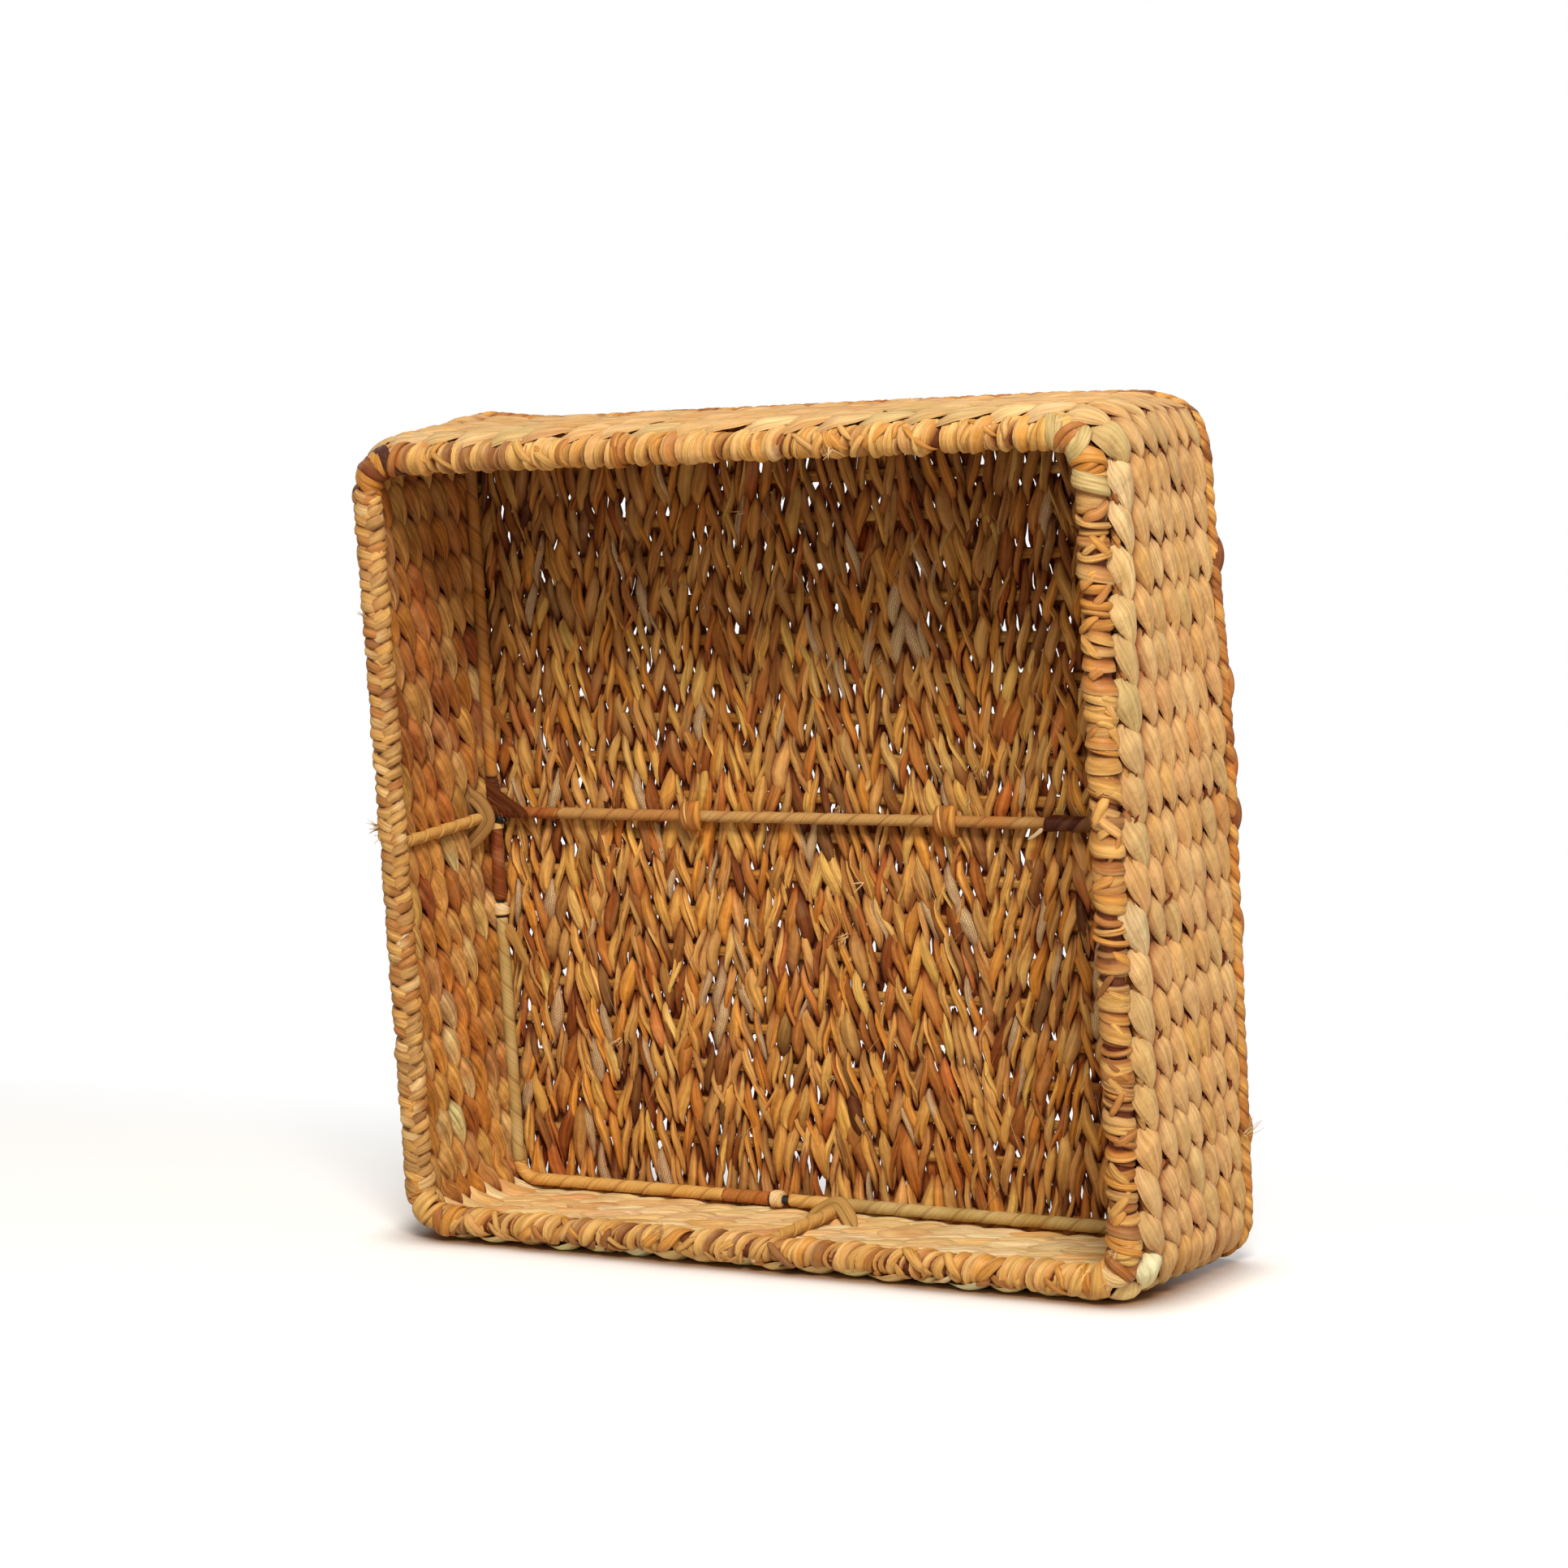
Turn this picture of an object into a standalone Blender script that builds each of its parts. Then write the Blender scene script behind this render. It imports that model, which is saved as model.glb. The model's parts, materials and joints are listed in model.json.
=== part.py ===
"""Square storage basket of dried leaf woven over a wire frame, standing on one side wall.

Every piece is modelled in the basket's own frame: the rim wire lies in the plane y = 0 round
the origin, the walls run to +Y, and the woven base closes the far end. The walls flare towards
the base, so the whole basket is then tilted by that flare, which lays one wall flat on z = 0.
"""

import math

import bmesh
import bpy
from mathutils import Matrix, Vector

# Wire frame
RIM_SIDE = 0.335
BASE_SIDE = 0.3454
FRAME_DEPTH = 0.087
RIM_CORNER = 0.015
BASE_WIRE_CORNER = 0.009
RIM_WIRE = 0.006
BASE_WIRE = 0.0042
UPRIGHT = 0.0055
BRACE = 0.0038
BRACE_RAISE = 0.001

# Clearance between pieces that lie against each other
GAP = 0.0003

# How far a blank runs past the outline that trims it
OVERRUN = 0.001

# Leaf wound round the rim wire
WHIPPING = 0.0132
WHIPPING_TURNS = 140
WHIPPING_GROOVE = 0.0009
WHIPPING_START_X = -0.0396
WHIPPING_JOIN = 0.0006

# Leaf wound round the base wire and the brace
WRAP_WALL = 0.0006
BRACE_WRAP_RIBS = 2
JOINT_WRAP_WALL = 0.0010
SLEEVE_RIB = 0.0003
SLEEVE_TURN = 0.006
KNOT_WALL = 0.0018
KNOT_LENGTH = 0.010
KNOT_TURN = 0.0034
KNOT_X = (-0.0666, 0.0585)
JOINT_WRAP_TOP = 0.0163
JOINT_WRAP_BOTTOM = -0.0408
JOINT_BAND_TOP = -0.0040
JOINT_BAND_BOTTOM = -0.0075
JOINT_BAND_WALL = 0.0007
CUFF_WALL = 0.0017
CUFF_LENGTH = 0.0069
LOWER_CUFF_X = -0.0390
TAPE_WALL = 0.0009
TAPE_START_X = 0.1033
TAPE_LENGTH = 0.024
TAPE_TURNS = 2

# Woven walls
ROW_COUNT = 7
STRAND = 0.0028
STAKE_THICK = 0.0022
STAKE_WIDE = 0.005
STAKE_PITCH = 0.0176
STAKES_PER_SIDE = 18
WALL_CORNER = 0.0175
NOTCH_FLOOR = 0.0008
LOOP_WALL = 0.0012
LOOP_WIDE = 0.014
LOOP_REACH = 0.0115
LOOP_CROWN = 0.0040
LOOP_FROM_BASE_WIRE = 0.0145

# Woven base
BASE_COLUMNS = 54
COLUMN_THICK = 0.0028
COLUMN_GROOVE = 0.0012
END_WARP_THICK = 0.0018
EDGE_ROLL = 0.0056

# Half sections, as shares of a piece's thickness and half width
STRAND_SHARES = ((0.0, -1.0), (0.55, -0.9), (1.0, -0.34), (1.0, 0.34), (0.55, 0.9), (0.0, 1.0))
FLAT_SHARES = ((-0.5, -1.0), (0.5, -1.0), (0.5, 1.0), (-0.5, 1.0))
COLUMN_CREST_SHARES = (0.25, 0.75)

# Facets
CORNER_STEPS = 4
BEND_STEPS = 3
ROUND_SIDES = 12
SHARP_ANGLE = math.radians(50)

# Sizes that follow from those above
RIM_HALF = RIM_SIDE / 2
BASE_HALF = BASE_SIDE / 2
WHIPPING_R = WHIPPING / 2
WRAP_IN_R = BASE_WIRE / 2 + GAP
WRAP_R = WRAP_IN_R + WRAP_WALL
JOINT_WRAP_R = WRAP_IN_R + JOINT_WRAP_WALL
DENT_R = JOINT_WRAP_R + JOINT_BAND_WALL + 2 * GAP
BRACE_WRAP_IN_R = BRACE / 2 + GAP
BRACE_WRAP_R = BRACE_WRAP_IN_R + WRAP_WALL
STRAND_FACE = STAKE_THICK / 2 + GAP
WALL_AT_RIM = RIM_HALF + UPRIGHT / 2 + GAP + NOTCH_FLOOR + STRAND_FACE
WALL_AT_BASE = BASE_HALF + JOINT_WRAP_R + GAP + STRAND + STRAND_FACE
FLARE = (WALL_AT_BASE - WALL_AT_RIM) / FRAME_DEPTH
TILT = math.atan(FLARE)
FRONT_FACE = FRAME_DEPTH + JOINT_WRAP_R + GAP
ROWS_START = WHIPPING_R + GAP
ROW_PITCH = (FRONT_FACE - ROWS_START) / ROW_COUNT
ROWS_END = ROWS_START + ROW_COUNT * ROW_PITCH - GAP
LOOP_Y = FRAME_DEPTH - LOOP_FROM_BASE_WIRE
WARP_Y = FRONT_FACE + COLUMN_THICK + GAP + STAKE_THICK / 2
BACK_FACE = WARP_Y + STAKE_THICK / 2 + GAP
BEND_R = WARP_Y - ROWS_END
ROLL_R = EDGE_ROLL / 2
ROLL_REACH = (BEND_R + STAKE_THICK / 2 + GAP + ROLL_R) * math.sqrt(0.5)


def wall_half(y):
    """Half the distance between opposite walls, measured at their stakes, at a depth."""
    return WALL_AT_RIM + FLARE * y


BEND_CENTRE = wall_half(ROWS_END) - BEND_R / math.cos(TILT)
FRONT_HALF = BEND_CENTRE
ROLL_HALF = BEND_CENTRE + ROLL_REACH
ROLL_Y = ROWS_END + ROLL_REACH
BACK_HALF = ROLL_HALF - ROLL_R - GAP
BASE_CORNER = WALL_CORNER - ROLL_R - GAP

LEAF = (0.72, 0.50, 0.28)
PALE_LEAF = (0.80, 0.62, 0.38)
RED_LEAF = (0.32, 0.13, 0.06)
CREAM_LEAF = (0.86, 0.74, 0.55)
OLIVE_LEAF = (0.55, 0.48, 0.24)
BROWN_LEAF = (0.45, 0.24, 0.11)
TAPE = (0.09, 0.04, 0.03)
STEEL = (0.06, 0.06, 0.06)

TO_ROW = Matrix.Rotation(math.pi / 2, 4, "X")


def clear_scene():
    """Remove every object of the open file."""
    for item in list(bpy.data.objects):
        bpy.data.objects.remove(item)


def new_collection(name):
    """Make a collection and link it to the scene."""
    collection = bpy.data.collections.new(name)
    bpy.context.scene.collection.children.link(collection)
    return collection


def material(name, color, roughness, metallic=0.0):
    """Return a Principled material with one colour, made once for each name."""
    if name in bpy.data.materials:
        return bpy.data.materials[name]
    made = bpy.data.materials.new(name)
    made.use_nodes = True
    shader = made.node_tree.nodes["Principled BSDF"]
    shader.inputs["Base Color"].default_value = (*color, 1.0)
    shader.inputs["Roughness"].default_value = roughness
    shader.inputs["Metallic"].default_value = metallic
    return made


def leaf(name, color):
    """A dry leaf material."""
    return material(name, color, 0.65)


def steel():
    """The black paint on the wire frame."""
    return material("black_steel", STEEL, 0.45, 0.6)


def place(item, collection, matrix=None):
    """Link an object and hang it on the basket's empty, with its place given in the basket's frame."""
    collection.objects.link(item)
    item.parent = bpy.data.objects["basket"]
    item.matrix_local = matrix if matrix is not None else Matrix.Identity(4)
    return item


def mark_as_guide(item):
    """Show a cutter or a section as wire only."""
    item.hide_render = True
    item.display_type = "WIRE"


def section_curve(name, shares, thick, wide, tilt):
    """A closed flat outline that other curves sweep: thick across, wide along, and tilted."""
    curve = bpy.data.curves.new(name, "CURVE")
    curve.dimensions = "2D"
    curve.fill_mode = "NONE"
    spline = curve.splines.new("POLY")
    spline.points.add(len(shares) - 1)
    spline.use_cyclic_u = True
    turn = Matrix.Rotation(tilt, 2)
    for point, (across, along) in zip(spline.points, shares):
        flat = turn @ Vector((across * thick, along * wide / 2))
        point.co = (flat.x, flat.y, 0.0, 1.0)
    item = place(bpy.data.objects.new(name, curve), bpy.data.collections["cutters"])
    mark_as_guide(item)
    return item


def curve_data(name, points, cyclic, radii=None):
    """A 3D curve of one POLY spline through the given points."""
    curve = bpy.data.curves.new(name, "CURVE")
    curve.dimensions = "3D"
    curve.twist_mode = "Z_UP"
    curve.use_fill_caps = not cyclic
    curve.resolution_u = 1
    spline = curve.splines.new("POLY")
    spline.points.add(len(points) - 1)
    spline.use_cyclic_u = cyclic
    for index, position in enumerate(points):
        spline.points[index].co = (*position, 1.0)
        spline.points[index].radius = radii[index] if radii else 1.0
    return curve


def to_mesh(item, finish):
    """Swap a curve object for a closed mesh object with the same name and place."""
    bpy.context.view_layer.update()
    graph = bpy.context.evaluated_depsgraph_get()
    mesh = bpy.data.meshes.new_from_object(item.evaluated_get(graph))
    bm = bmesh.new()
    bm.from_mesh(mesh)
    bmesh.ops.remove_doubles(bm, verts=bm.verts, dist=GAP / 10)
    bmesh.ops.recalc_face_normals(bm, faces=bm.faces)
    bm.to_mesh(mesh)
    bm.free()
    name, matrix, collection = item.name, item.matrix_local.copy(), item.users_collection[0]
    bpy.data.objects.remove(item)
    mesh.name = name
    mesh.materials.clear()
    mesh.materials.append(finish)
    return place(bpy.data.objects.new(name, mesh), collection, matrix)


def swept(name, points, section, cyclic, finish, matrix=None):
    """A mesh of a section swept along points in the XY plane of the matrix."""
    curve = curve_data(name, points, cyclic)
    curve.bevel_mode = "OBJECT"
    curve.bevel_object = section
    item = place(bpy.data.objects.new(name, curve), bpy.data.collections["basket"], matrix)
    return to_mesh(item, finish)


def round_tube(name, points, radius, cyclic, finish, matrix=None, radii=None):
    """A mesh of a round tube along points, its radius varied by shares where they are given."""
    curve = curve_data(name, points, cyclic, radii)
    curve.bevel_depth = radius
    curve.bevel_resolution = 2
    item = place(bpy.data.objects.new(name, curve), bpy.data.collections["basket"], matrix)
    tube = to_mesh(item, finish)
    tube.data.shade_smooth()
    tube.data.set_sharp_from_angle(angle=SHARP_ANGLE)
    return tube


def as_cutter(item):
    """Move a finished mesh to the cutters."""
    bpy.data.collections["basket"].objects.unlink(item)
    bpy.data.collections["cutters"].objects.link(item)
    mark_as_guide(item)
    return item


def cut(item, *cutters, operation="DIFFERENCE"):
    """Add one Boolean modifier for each cutter."""
    for cutter in cutters:
        modifier = item.modifiers.new(operation.lower() + "_" + cutter.name, "BOOLEAN")
        modifier.operation = operation
        modifier.object = cutter
        modifier.solver = "EXACT"
    return item


def mesh_object(name, bm, finish, matrix=None):
    """Store a bmesh as an object of the basket."""
    mesh = bpy.data.meshes.new(name)
    bm.to_mesh(mesh)
    bm.free()
    mesh.materials.append(finish)
    return place(bpy.data.objects.new(name, mesh), bpy.data.collections["basket"], matrix)


def rod(name, start, end, radius, finish):
    """A round bar between two points."""
    along = end - start
    bm = bmesh.new()
    bmesh.ops.create_cone(
        bm, cap_ends=True, segments=ROUND_SIDES, radius1=radius, radius2=radius, depth=along.length
    )
    turn = Vector((0.0, 0.0, 1.0)).rotation_difference(along).to_matrix().to_4x4()
    bar = mesh_object(name, bm, finish, Matrix.Translation((start + end) / 2) @ turn)
    bar.data.shade_smooth()
    bar.data.set_sharp_from_angle(angle=SHARP_ANGLE)
    return bar


def block(name, low, high, finish):
    """A box between two corners."""
    bm = bmesh.new()
    bmesh.ops.create_cube(bm, size=1.0)
    bmesh.ops.scale(bm, verts=bm.verts, vec=high - low)
    return mesh_object(name, bm, finish, Matrix.Translation((low + high) / 2))


def sleeve(name, centre, axis, length, inner, wall, turns, finish):
    """A short wound tube on a straight wire: a ribbed profile turned round the wire."""
    outer = inner + wall
    step = length / turns
    rim = [(outer - SLEEVE_RIB, length / 2)]
    for turn in range(turns):
        top = length / 2 - turn * step
        rim.append((outer, top - step / 2))
        rim.append((outer - SLEEVE_RIB, top - step))
    profile = rim + [(inner, -length / 2), (inner, length / 2)]
    bm = bmesh.new()
    ring = [bm.verts.new((radius, 0.0, height)) for radius, height in profile]
    for index, vertex in enumerate(ring):
        bm.edges.new((vertex, ring[(index + 1) % len(ring)]))
    turn = Vector((0.0, 0.0, 1.0)).rotation_difference(axis).to_matrix().to_4x4()
    item = mesh_object(name, bm, finish, Matrix.Translation(centre) @ turn)
    screw = item.modifiers.new("turn", "SCREW")
    screw.steps = ROUND_SIDES
    screw.render_steps = ROUND_SIDES
    screw.use_merge_vertices = True
    screw.merge_threshold = GAP / 10
    return item


def loop_quarter(half, radius):
    """The length of one straight side and one corner of a square loop."""
    return 2 * (half - radius) + radius * math.pi / 2


def loop_point(half, radius, distance):
    """The point at a distance along a square loop, clockwise from the start of its +Y side."""
    quarter = loop_quarter(half, radius)
    straight = 2 * (half - radius)
    side = int(distance // quarter)
    rest = distance - side * quarter
    if rest < straight:
        point = Vector((rest - straight / 2, half, 0.0))
    else:
        angle = (rest - straight) / radius
        reach = Vector((math.sin(angle), math.cos(angle), 0.0)) * radius
        point = Vector((half - radius, half - radius, 0.0)) + reach
    return Matrix.Rotation(-side * math.pi / 2, 3, "Z") @ point


def corner_distances(half, radius, sides):
    """Distances along a square loop of the points on its corners, for a number of sides in a row."""
    quarter = loop_quarter(half, radius)
    first = 2 * (half - radius)
    step = radius * math.pi / 2 / CORNER_STEPS
    return [side * quarter + first + turn * step for side in range(sides) for turn in range(CORNER_STEPS + 1)]


def square_loop(half, radius):
    """Corner points of a whole square loop with round corners."""
    return [loop_point(half, radius, distance) for distance in corner_distances(half, radius, 4)]


def loop_stretch(half, radius, start, end):
    """Points of a square loop from one distance along it to another, up to two rounds on."""
    between = [distance for distance in corner_distances(half, radius, 8) if start < distance < end]
    return [loop_point(half, radius, distance) for distance in (start, *between, end)]


def along_left(z):
    """Distance along the base wire of a height on its left side."""
    return 3 * loop_quarter(BASE_HALF, BASE_WIRE_CORNER) + BASE_HALF - BASE_WIRE_CORNER + z


def along_bottom(x):
    """Distance along the base wire of a place on its lowest side."""
    return 2 * loop_quarter(BASE_HALF, BASE_WIRE_CORNER) + BASE_HALF - BASE_WIRE_CORNER - x


def row_plane(y):
    """The matrix that stands a loop drawn in XY in the plane at a depth."""
    return Matrix.Translation((0.0, y, 0.0)) @ TO_ROW


def wall_turn(index):
    """The turn from the right wall to one of the four walls: right, top, left, bottom."""
    return Matrix.Rotation(-index * math.pi / 2, 4, "Y")


def upright_ends(index, at_rim, at_base):
    """Ends of the upright on a wall, at depths past the rim plane and before the base wire."""
    slope = (BASE_HALF - RIM_HALF) / FRAME_DEPTH
    near = Vector((RIM_HALF + slope * at_rim, at_rim, 0.0))
    depth = FRAME_DEPTH - at_base
    far = Vector((RIM_HALF + slope * depth, depth, 0.0))
    turn = wall_turn(index).to_3x3()
    return turn @ near, turn @ far


def make_frame():
    """The welded wire frame: rim wire, base wire, brace and four uprights."""
    round_tube("rim_wire", square_loop(RIM_HALF, RIM_CORNER), RIM_WIRE / 2, True, steel(), row_plane(0.0))
    base = square_loop(BASE_HALF, BASE_WIRE_CORNER)
    round_tube("base_wire", base, BASE_WIRE / 2, True, steel(), row_plane(FRAME_DEPTH))
    reach = Vector((BASE_HALF - BASE_WIRE / 2 - GAP, 0.0, 0.0))
    middle = Vector((0.0, FRAME_DEPTH, BRACE_RAISE))
    rod("cross_brace", middle - reach, middle + reach, BRACE / 2, steel())
    for index, side in enumerate(("right", "top", "left", "bottom")):
        start, end = upright_ends(index, RIM_WIRE / 2 + GAP, BASE_WIRE / 2 + GAP)
        rod("upright_" + side, start, end, UPRIGHT / 2, leaf("pale_leaf", PALE_LEAF))


def make_upright_cutters():
    """Clearance holes along the four uprights, from inside one wire to inside the other."""
    cutters = []
    for index in range(4):
        start, end = upright_ends(index, 0.0, 0.0)
        hole = rod("upright_hole_" + str(index + 1), start, end, UPRIGHT / 2 + GAP, steel())
        cutters.append(as_cutter(hole))
    return cutters


def make_rim_whipping(upright_holes):
    """Leaf wound round the rim wire in close turns, with a bore for the wire."""
    start = WHIPPING_START_X + RIM_HALF - RIM_CORNER
    whole = 4 * loop_quarter(RIM_HALF, RIM_CORNER)
    length = whole - WHIPPING_JOIN
    turn = length / WHIPPING_TURNS
    groove_share = (WHIPPING_R - WHIPPING_GROOVE) / WHIPPING_R
    places = [start, start + turn / 2]
    radii = [groove_share, 1.0]
    for index in range(1, WHIPPING_TURNS):
        places += [start + index * turn, start + (index + 0.5) * turn]
        radii += [groove_share, 1.0]
    places.append(start + length)
    radii.append(groove_share)
    points = [loop_point(RIM_HALF, RIM_CORNER, place_on_loop) for place_on_loop in places]
    plane = row_plane(0.0)
    finish = leaf("pale_leaf", PALE_LEAF)
    whipping = round_tube("rim_whipping", points, WHIPPING_R, False, finish, plane, radii)
    loop = square_loop(RIM_HALF, RIM_CORNER)
    bore = as_cutter(round_tube("rim_bore", loop, RIM_WIRE / 2 + GAP, True, finish, plane))
    cut(whipping, bore, *upright_holes)


def make_base_wraps(upright_holes, brace_hole):
    """Leaf wound round the base wire: two long stretches, parted by the left joint and a cuff."""
    bore_loop = square_loop(BASE_HALF, BASE_WIRE_CORNER)
    plane = row_plane(FRAME_DEPTH)
    straw = leaf("pale_leaf", PALE_LEAF)
    olive = leaf("olive_leaf", OLIVE_LEAF)
    bore = as_cutter(round_tube("base_bore", bore_loop, WRAP_IN_R, True, straw, plane))
    whole = 4 * loop_quarter(BASE_HALF, BASE_WIRE_CORNER)
    cuff_right = LOWER_CUFF_X + CUFF_LENGTH
    stretches = (
        ("base_wrap_upper", along_left(JOINT_WRAP_TOP + GAP), whole + along_bottom(cuff_right + GAP), olive),
        (
            "base_wrap_lower",
            along_bottom(LOWER_CUFF_X - GAP),
            along_left(JOINT_WRAP_BOTTOM - CUFF_LENGTH - 2 * GAP),
            straw,
        ),
    )
    for name, start, end, finish in stretches:
        points = loop_stretch(BASE_HALF, BASE_WIRE_CORNER, start, end)
        wrap = round_tube(name, points, WRAP_R, False, finish, plane)
        cut(wrap, bore, *upright_holes)
    cut(bpy.data.objects["base_wrap_upper"], brace_hole)


def make_joint_trim(upright_holes, brace_hole, base_plane):
    """The wound leaf, bands and cuffs where the brace meets the base wire."""
    up = Vector((0.0, 0.0, 1.0))
    across = Vector((1.0, 0.0, 0.0))
    left = Vector((-BASE_HALF, FRAME_DEPTH, 0.0))
    low = Vector((0.0, FRAME_DEPTH, -BASE_HALF))
    length = JOINT_WRAP_TOP - JOINT_WRAP_BOTTOM
    middle = left + up * (JOINT_WRAP_TOP + JOINT_WRAP_BOTTOM) / 2
    turns = round(length / SLEEVE_TURN)
    red = leaf("red_leaf", RED_LEAF)
    cream = leaf("cream_leaf", CREAM_LEAF)
    wrap = sleeve("left_joint_wrap", middle, up, length, WRAP_IN_R, JOINT_WRAP_WALL, turns, red)
    cut(wrap, upright_holes[2], brace_hole)
    band_length = JOINT_BAND_TOP - JOINT_BAND_BOTTOM
    band_middle = left + up * (JOINT_BAND_TOP + JOINT_BAND_BOTTOM) / 2
    band_in = JOINT_WRAP_R + GAP
    band = sleeve("left_joint_band", band_middle, up, band_length, band_in, JOINT_BAND_WALL, 1, cream)
    cut(band, base_plane)
    cuff_middle = left + up * (JOINT_WRAP_BOTTOM - GAP - CUFF_LENGTH / 2)
    cuff = sleeve("left_cuff", cuff_middle, up, CUFF_LENGTH, WRAP_IN_R, CUFF_WALL, 1, cream)
    cut(cuff, base_plane)
    lower_middle = low + across * (LOWER_CUFF_X + CUFF_LENGTH / 2)
    lower = sleeve("lower_cuff", lower_middle, across, CUFF_LENGTH, WRAP_IN_R, CUFF_WALL, 1, cream)
    cut(lower, base_plane)


def make_brace_wraps(base_plane):
    """Leaf wound round the brace, the two knots that tie it to the base, and the tape at its end."""
    across = Vector((1.0, 0.0, 0.0))
    middle = Vector((0.0, FRAME_DEPTH, BRACE_RAISE))
    reach = BASE_HALF - JOINT_WRAP_R - GAP
    straw = leaf("pale_leaf", PALE_LEAF)
    sleeve("brace_wrap", middle, across, 2 * reach, BRACE_WRAP_IN_R, WRAP_WALL, BRACE_WRAP_RIBS, straw)
    over = BRACE_WRAP_R + GAP
    knot_turns = round(KNOT_LENGTH / KNOT_TURN)
    for side, x in zip(("left", "right"), KNOT_X):
        finish = leaf("brown_leaf", BROWN_LEAF)
        place_on_brace = middle + across * x
        knot = sleeve("knot_" + side, place_on_brace, across, KNOT_LENGTH, over, KNOT_WALL, knot_turns, finish)
        cut(knot, base_plane)
    tape_middle = middle + across * (TAPE_START_X + TAPE_LENGTH / 2)
    black = material("tape", TAPE, 0.35)
    tape = sleeve("brace_end_tape", tape_middle, across, TAPE_LENGTH, over, TAPE_WALL, TAPE_TURNS, black)
    cut(tape, base_plane)


def make_dents():
    """Room for the bands and cuffs on the base wire where they press into the last inner strand."""
    side = Vector((-BASE_HALF, FRAME_DEPTH, 0.0))
    up = Vector((0.0, 0.0, 1.0))
    low = Vector((0.0, FRAME_DEPTH, -BASE_HALF))
    across = Vector((1.0, 0.0, 0.0))
    side_ends = side + up * (JOINT_WRAP_BOTTOM - CUFF_LENGTH - 2 * GAP), side + up * (JOINT_BAND_TOP + GAP)
    low_ends = low + across * (LOWER_CUFF_X - GAP), low + across * (LOWER_CUFF_X + CUFF_LENGTH + GAP)
    return [
        as_cutter(rod("left_dent", *side_ends, DENT_R, steel())),
        as_cutter(rod("lower_dent", *low_ends, DENT_R, steel())),
    ]


def make_wall_rows(upright_holes):
    """Seven woven rows round the walls, each an outer and an inner strand with the stakes between."""
    row_height = ROW_PITCH - GAP
    outer_section = section_curve("outer_section", STRAND_SHARES, -STRAND, row_height, -TILT)
    inner_section = section_curve("inner_section", STRAND_SHARES, STRAND, row_height, -TILT)
    outer_leaf = leaf("leaf", LEAF)
    inner_leaf = leaf("brown_leaf", BROWN_LEAF)
    for row in range(ROW_COUNT):
        y = ROWS_START + row * ROW_PITCH + row_height / 2
        half = wall_half(y)
        outer_loop = square_loop(half + STRAND_FACE, WALL_CORNER + STRAND_FACE)
        inner_loop = square_loop(half - STRAND_FACE, WALL_CORNER - STRAND_FACE)
        plane = row_plane(y)
        swept("weft_outer_" + str(row + 1), outer_loop, outer_section, True, outer_leaf, plane)
        inner = swept("weft_inner_" + str(row + 1), inner_loop, inner_section, True, inner_leaf, plane)
        cut(inner, *upright_holes)
    cut(inner, *make_dents())


def make_upright_loops():
    """A broad leaf loop over each upright, which holds it against the wall near the base."""
    section = section_curve("loop_section", FLAT_SHARES, LOOP_WALL, LOOP_WIDE, 0.0)
    slope = (BASE_HALF - RIM_HALF) / FRAME_DEPTH
    wall_face = wall_half(LOOP_Y) - STRAND_FACE - STRAND - 2 * GAP - LOOP_WALL / 2
    crown = RIM_HALF + slope * LOOP_Y - UPRIGHT / 2 - 2 * GAP - LOOP_WALL / 2
    outline = (
        (wall_face, LOOP_REACH),
        (crown, LOOP_CROWN),
        (crown, -LOOP_CROWN),
        (wall_face, -LOOP_REACH),
    )
    points = [Vector((x, z, 0.0)) for x, z in outline]
    lean = Matrix.Translation((0.0, LOOP_Y, 0.0)) @ TO_ROW
    finish = leaf("olive_leaf", OLIVE_LEAF)
    for index, side in enumerate(("right", "top", "left", "bottom")):
        swept("upright_loop_" + side, points, section, False, finish, wall_turn(index) @ lean)


def stake_path(base_end):
    """Half the route of a warp: from a place on the base, round the bend and up the right wall."""
    points = [Vector((base_end, WARP_Y, 0.0))]
    sweep = math.pi / 2 + TILT
    for step in range(BEND_STEPS + 1):
        angle = sweep * step / BEND_STEPS
        reach = Vector((math.sin(angle), math.cos(angle), 0.0)) * BEND_R
        points.append(Vector((BEND_CENTRE, ROWS_END, 0.0)) + reach)
    points.append(Vector((wall_half(ROWS_START), ROWS_START, 0.0)))
    return points


def stake_places():
    """Places of the stakes along one side, even about its middle."""
    first = -STAKE_PITCH * (STAKES_PER_SIDE - 1) / 2
    return [first + index * STAKE_PITCH for index in range(STAKES_PER_SIDE)]


def make_warps():
    """Warps across the base, each turned up the left and right walls as stakes."""
    section = section_curve("warp_section", FLAT_SHARES, STAKE_THICK, STAKE_WIDE, 0.0)
    right = stake_path(0.0)[1:]
    left = [Vector((-point.x, point.y, 0.0)) for point in reversed(right)]
    for index, z in enumerate(stake_places()):
        name = "warp_" + str(index + 1).zfill(2)
        swept(name, left + right, section, False, leaf("leaf", LEAF), Matrix.Translation((0.0, 0.0, z)))


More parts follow.
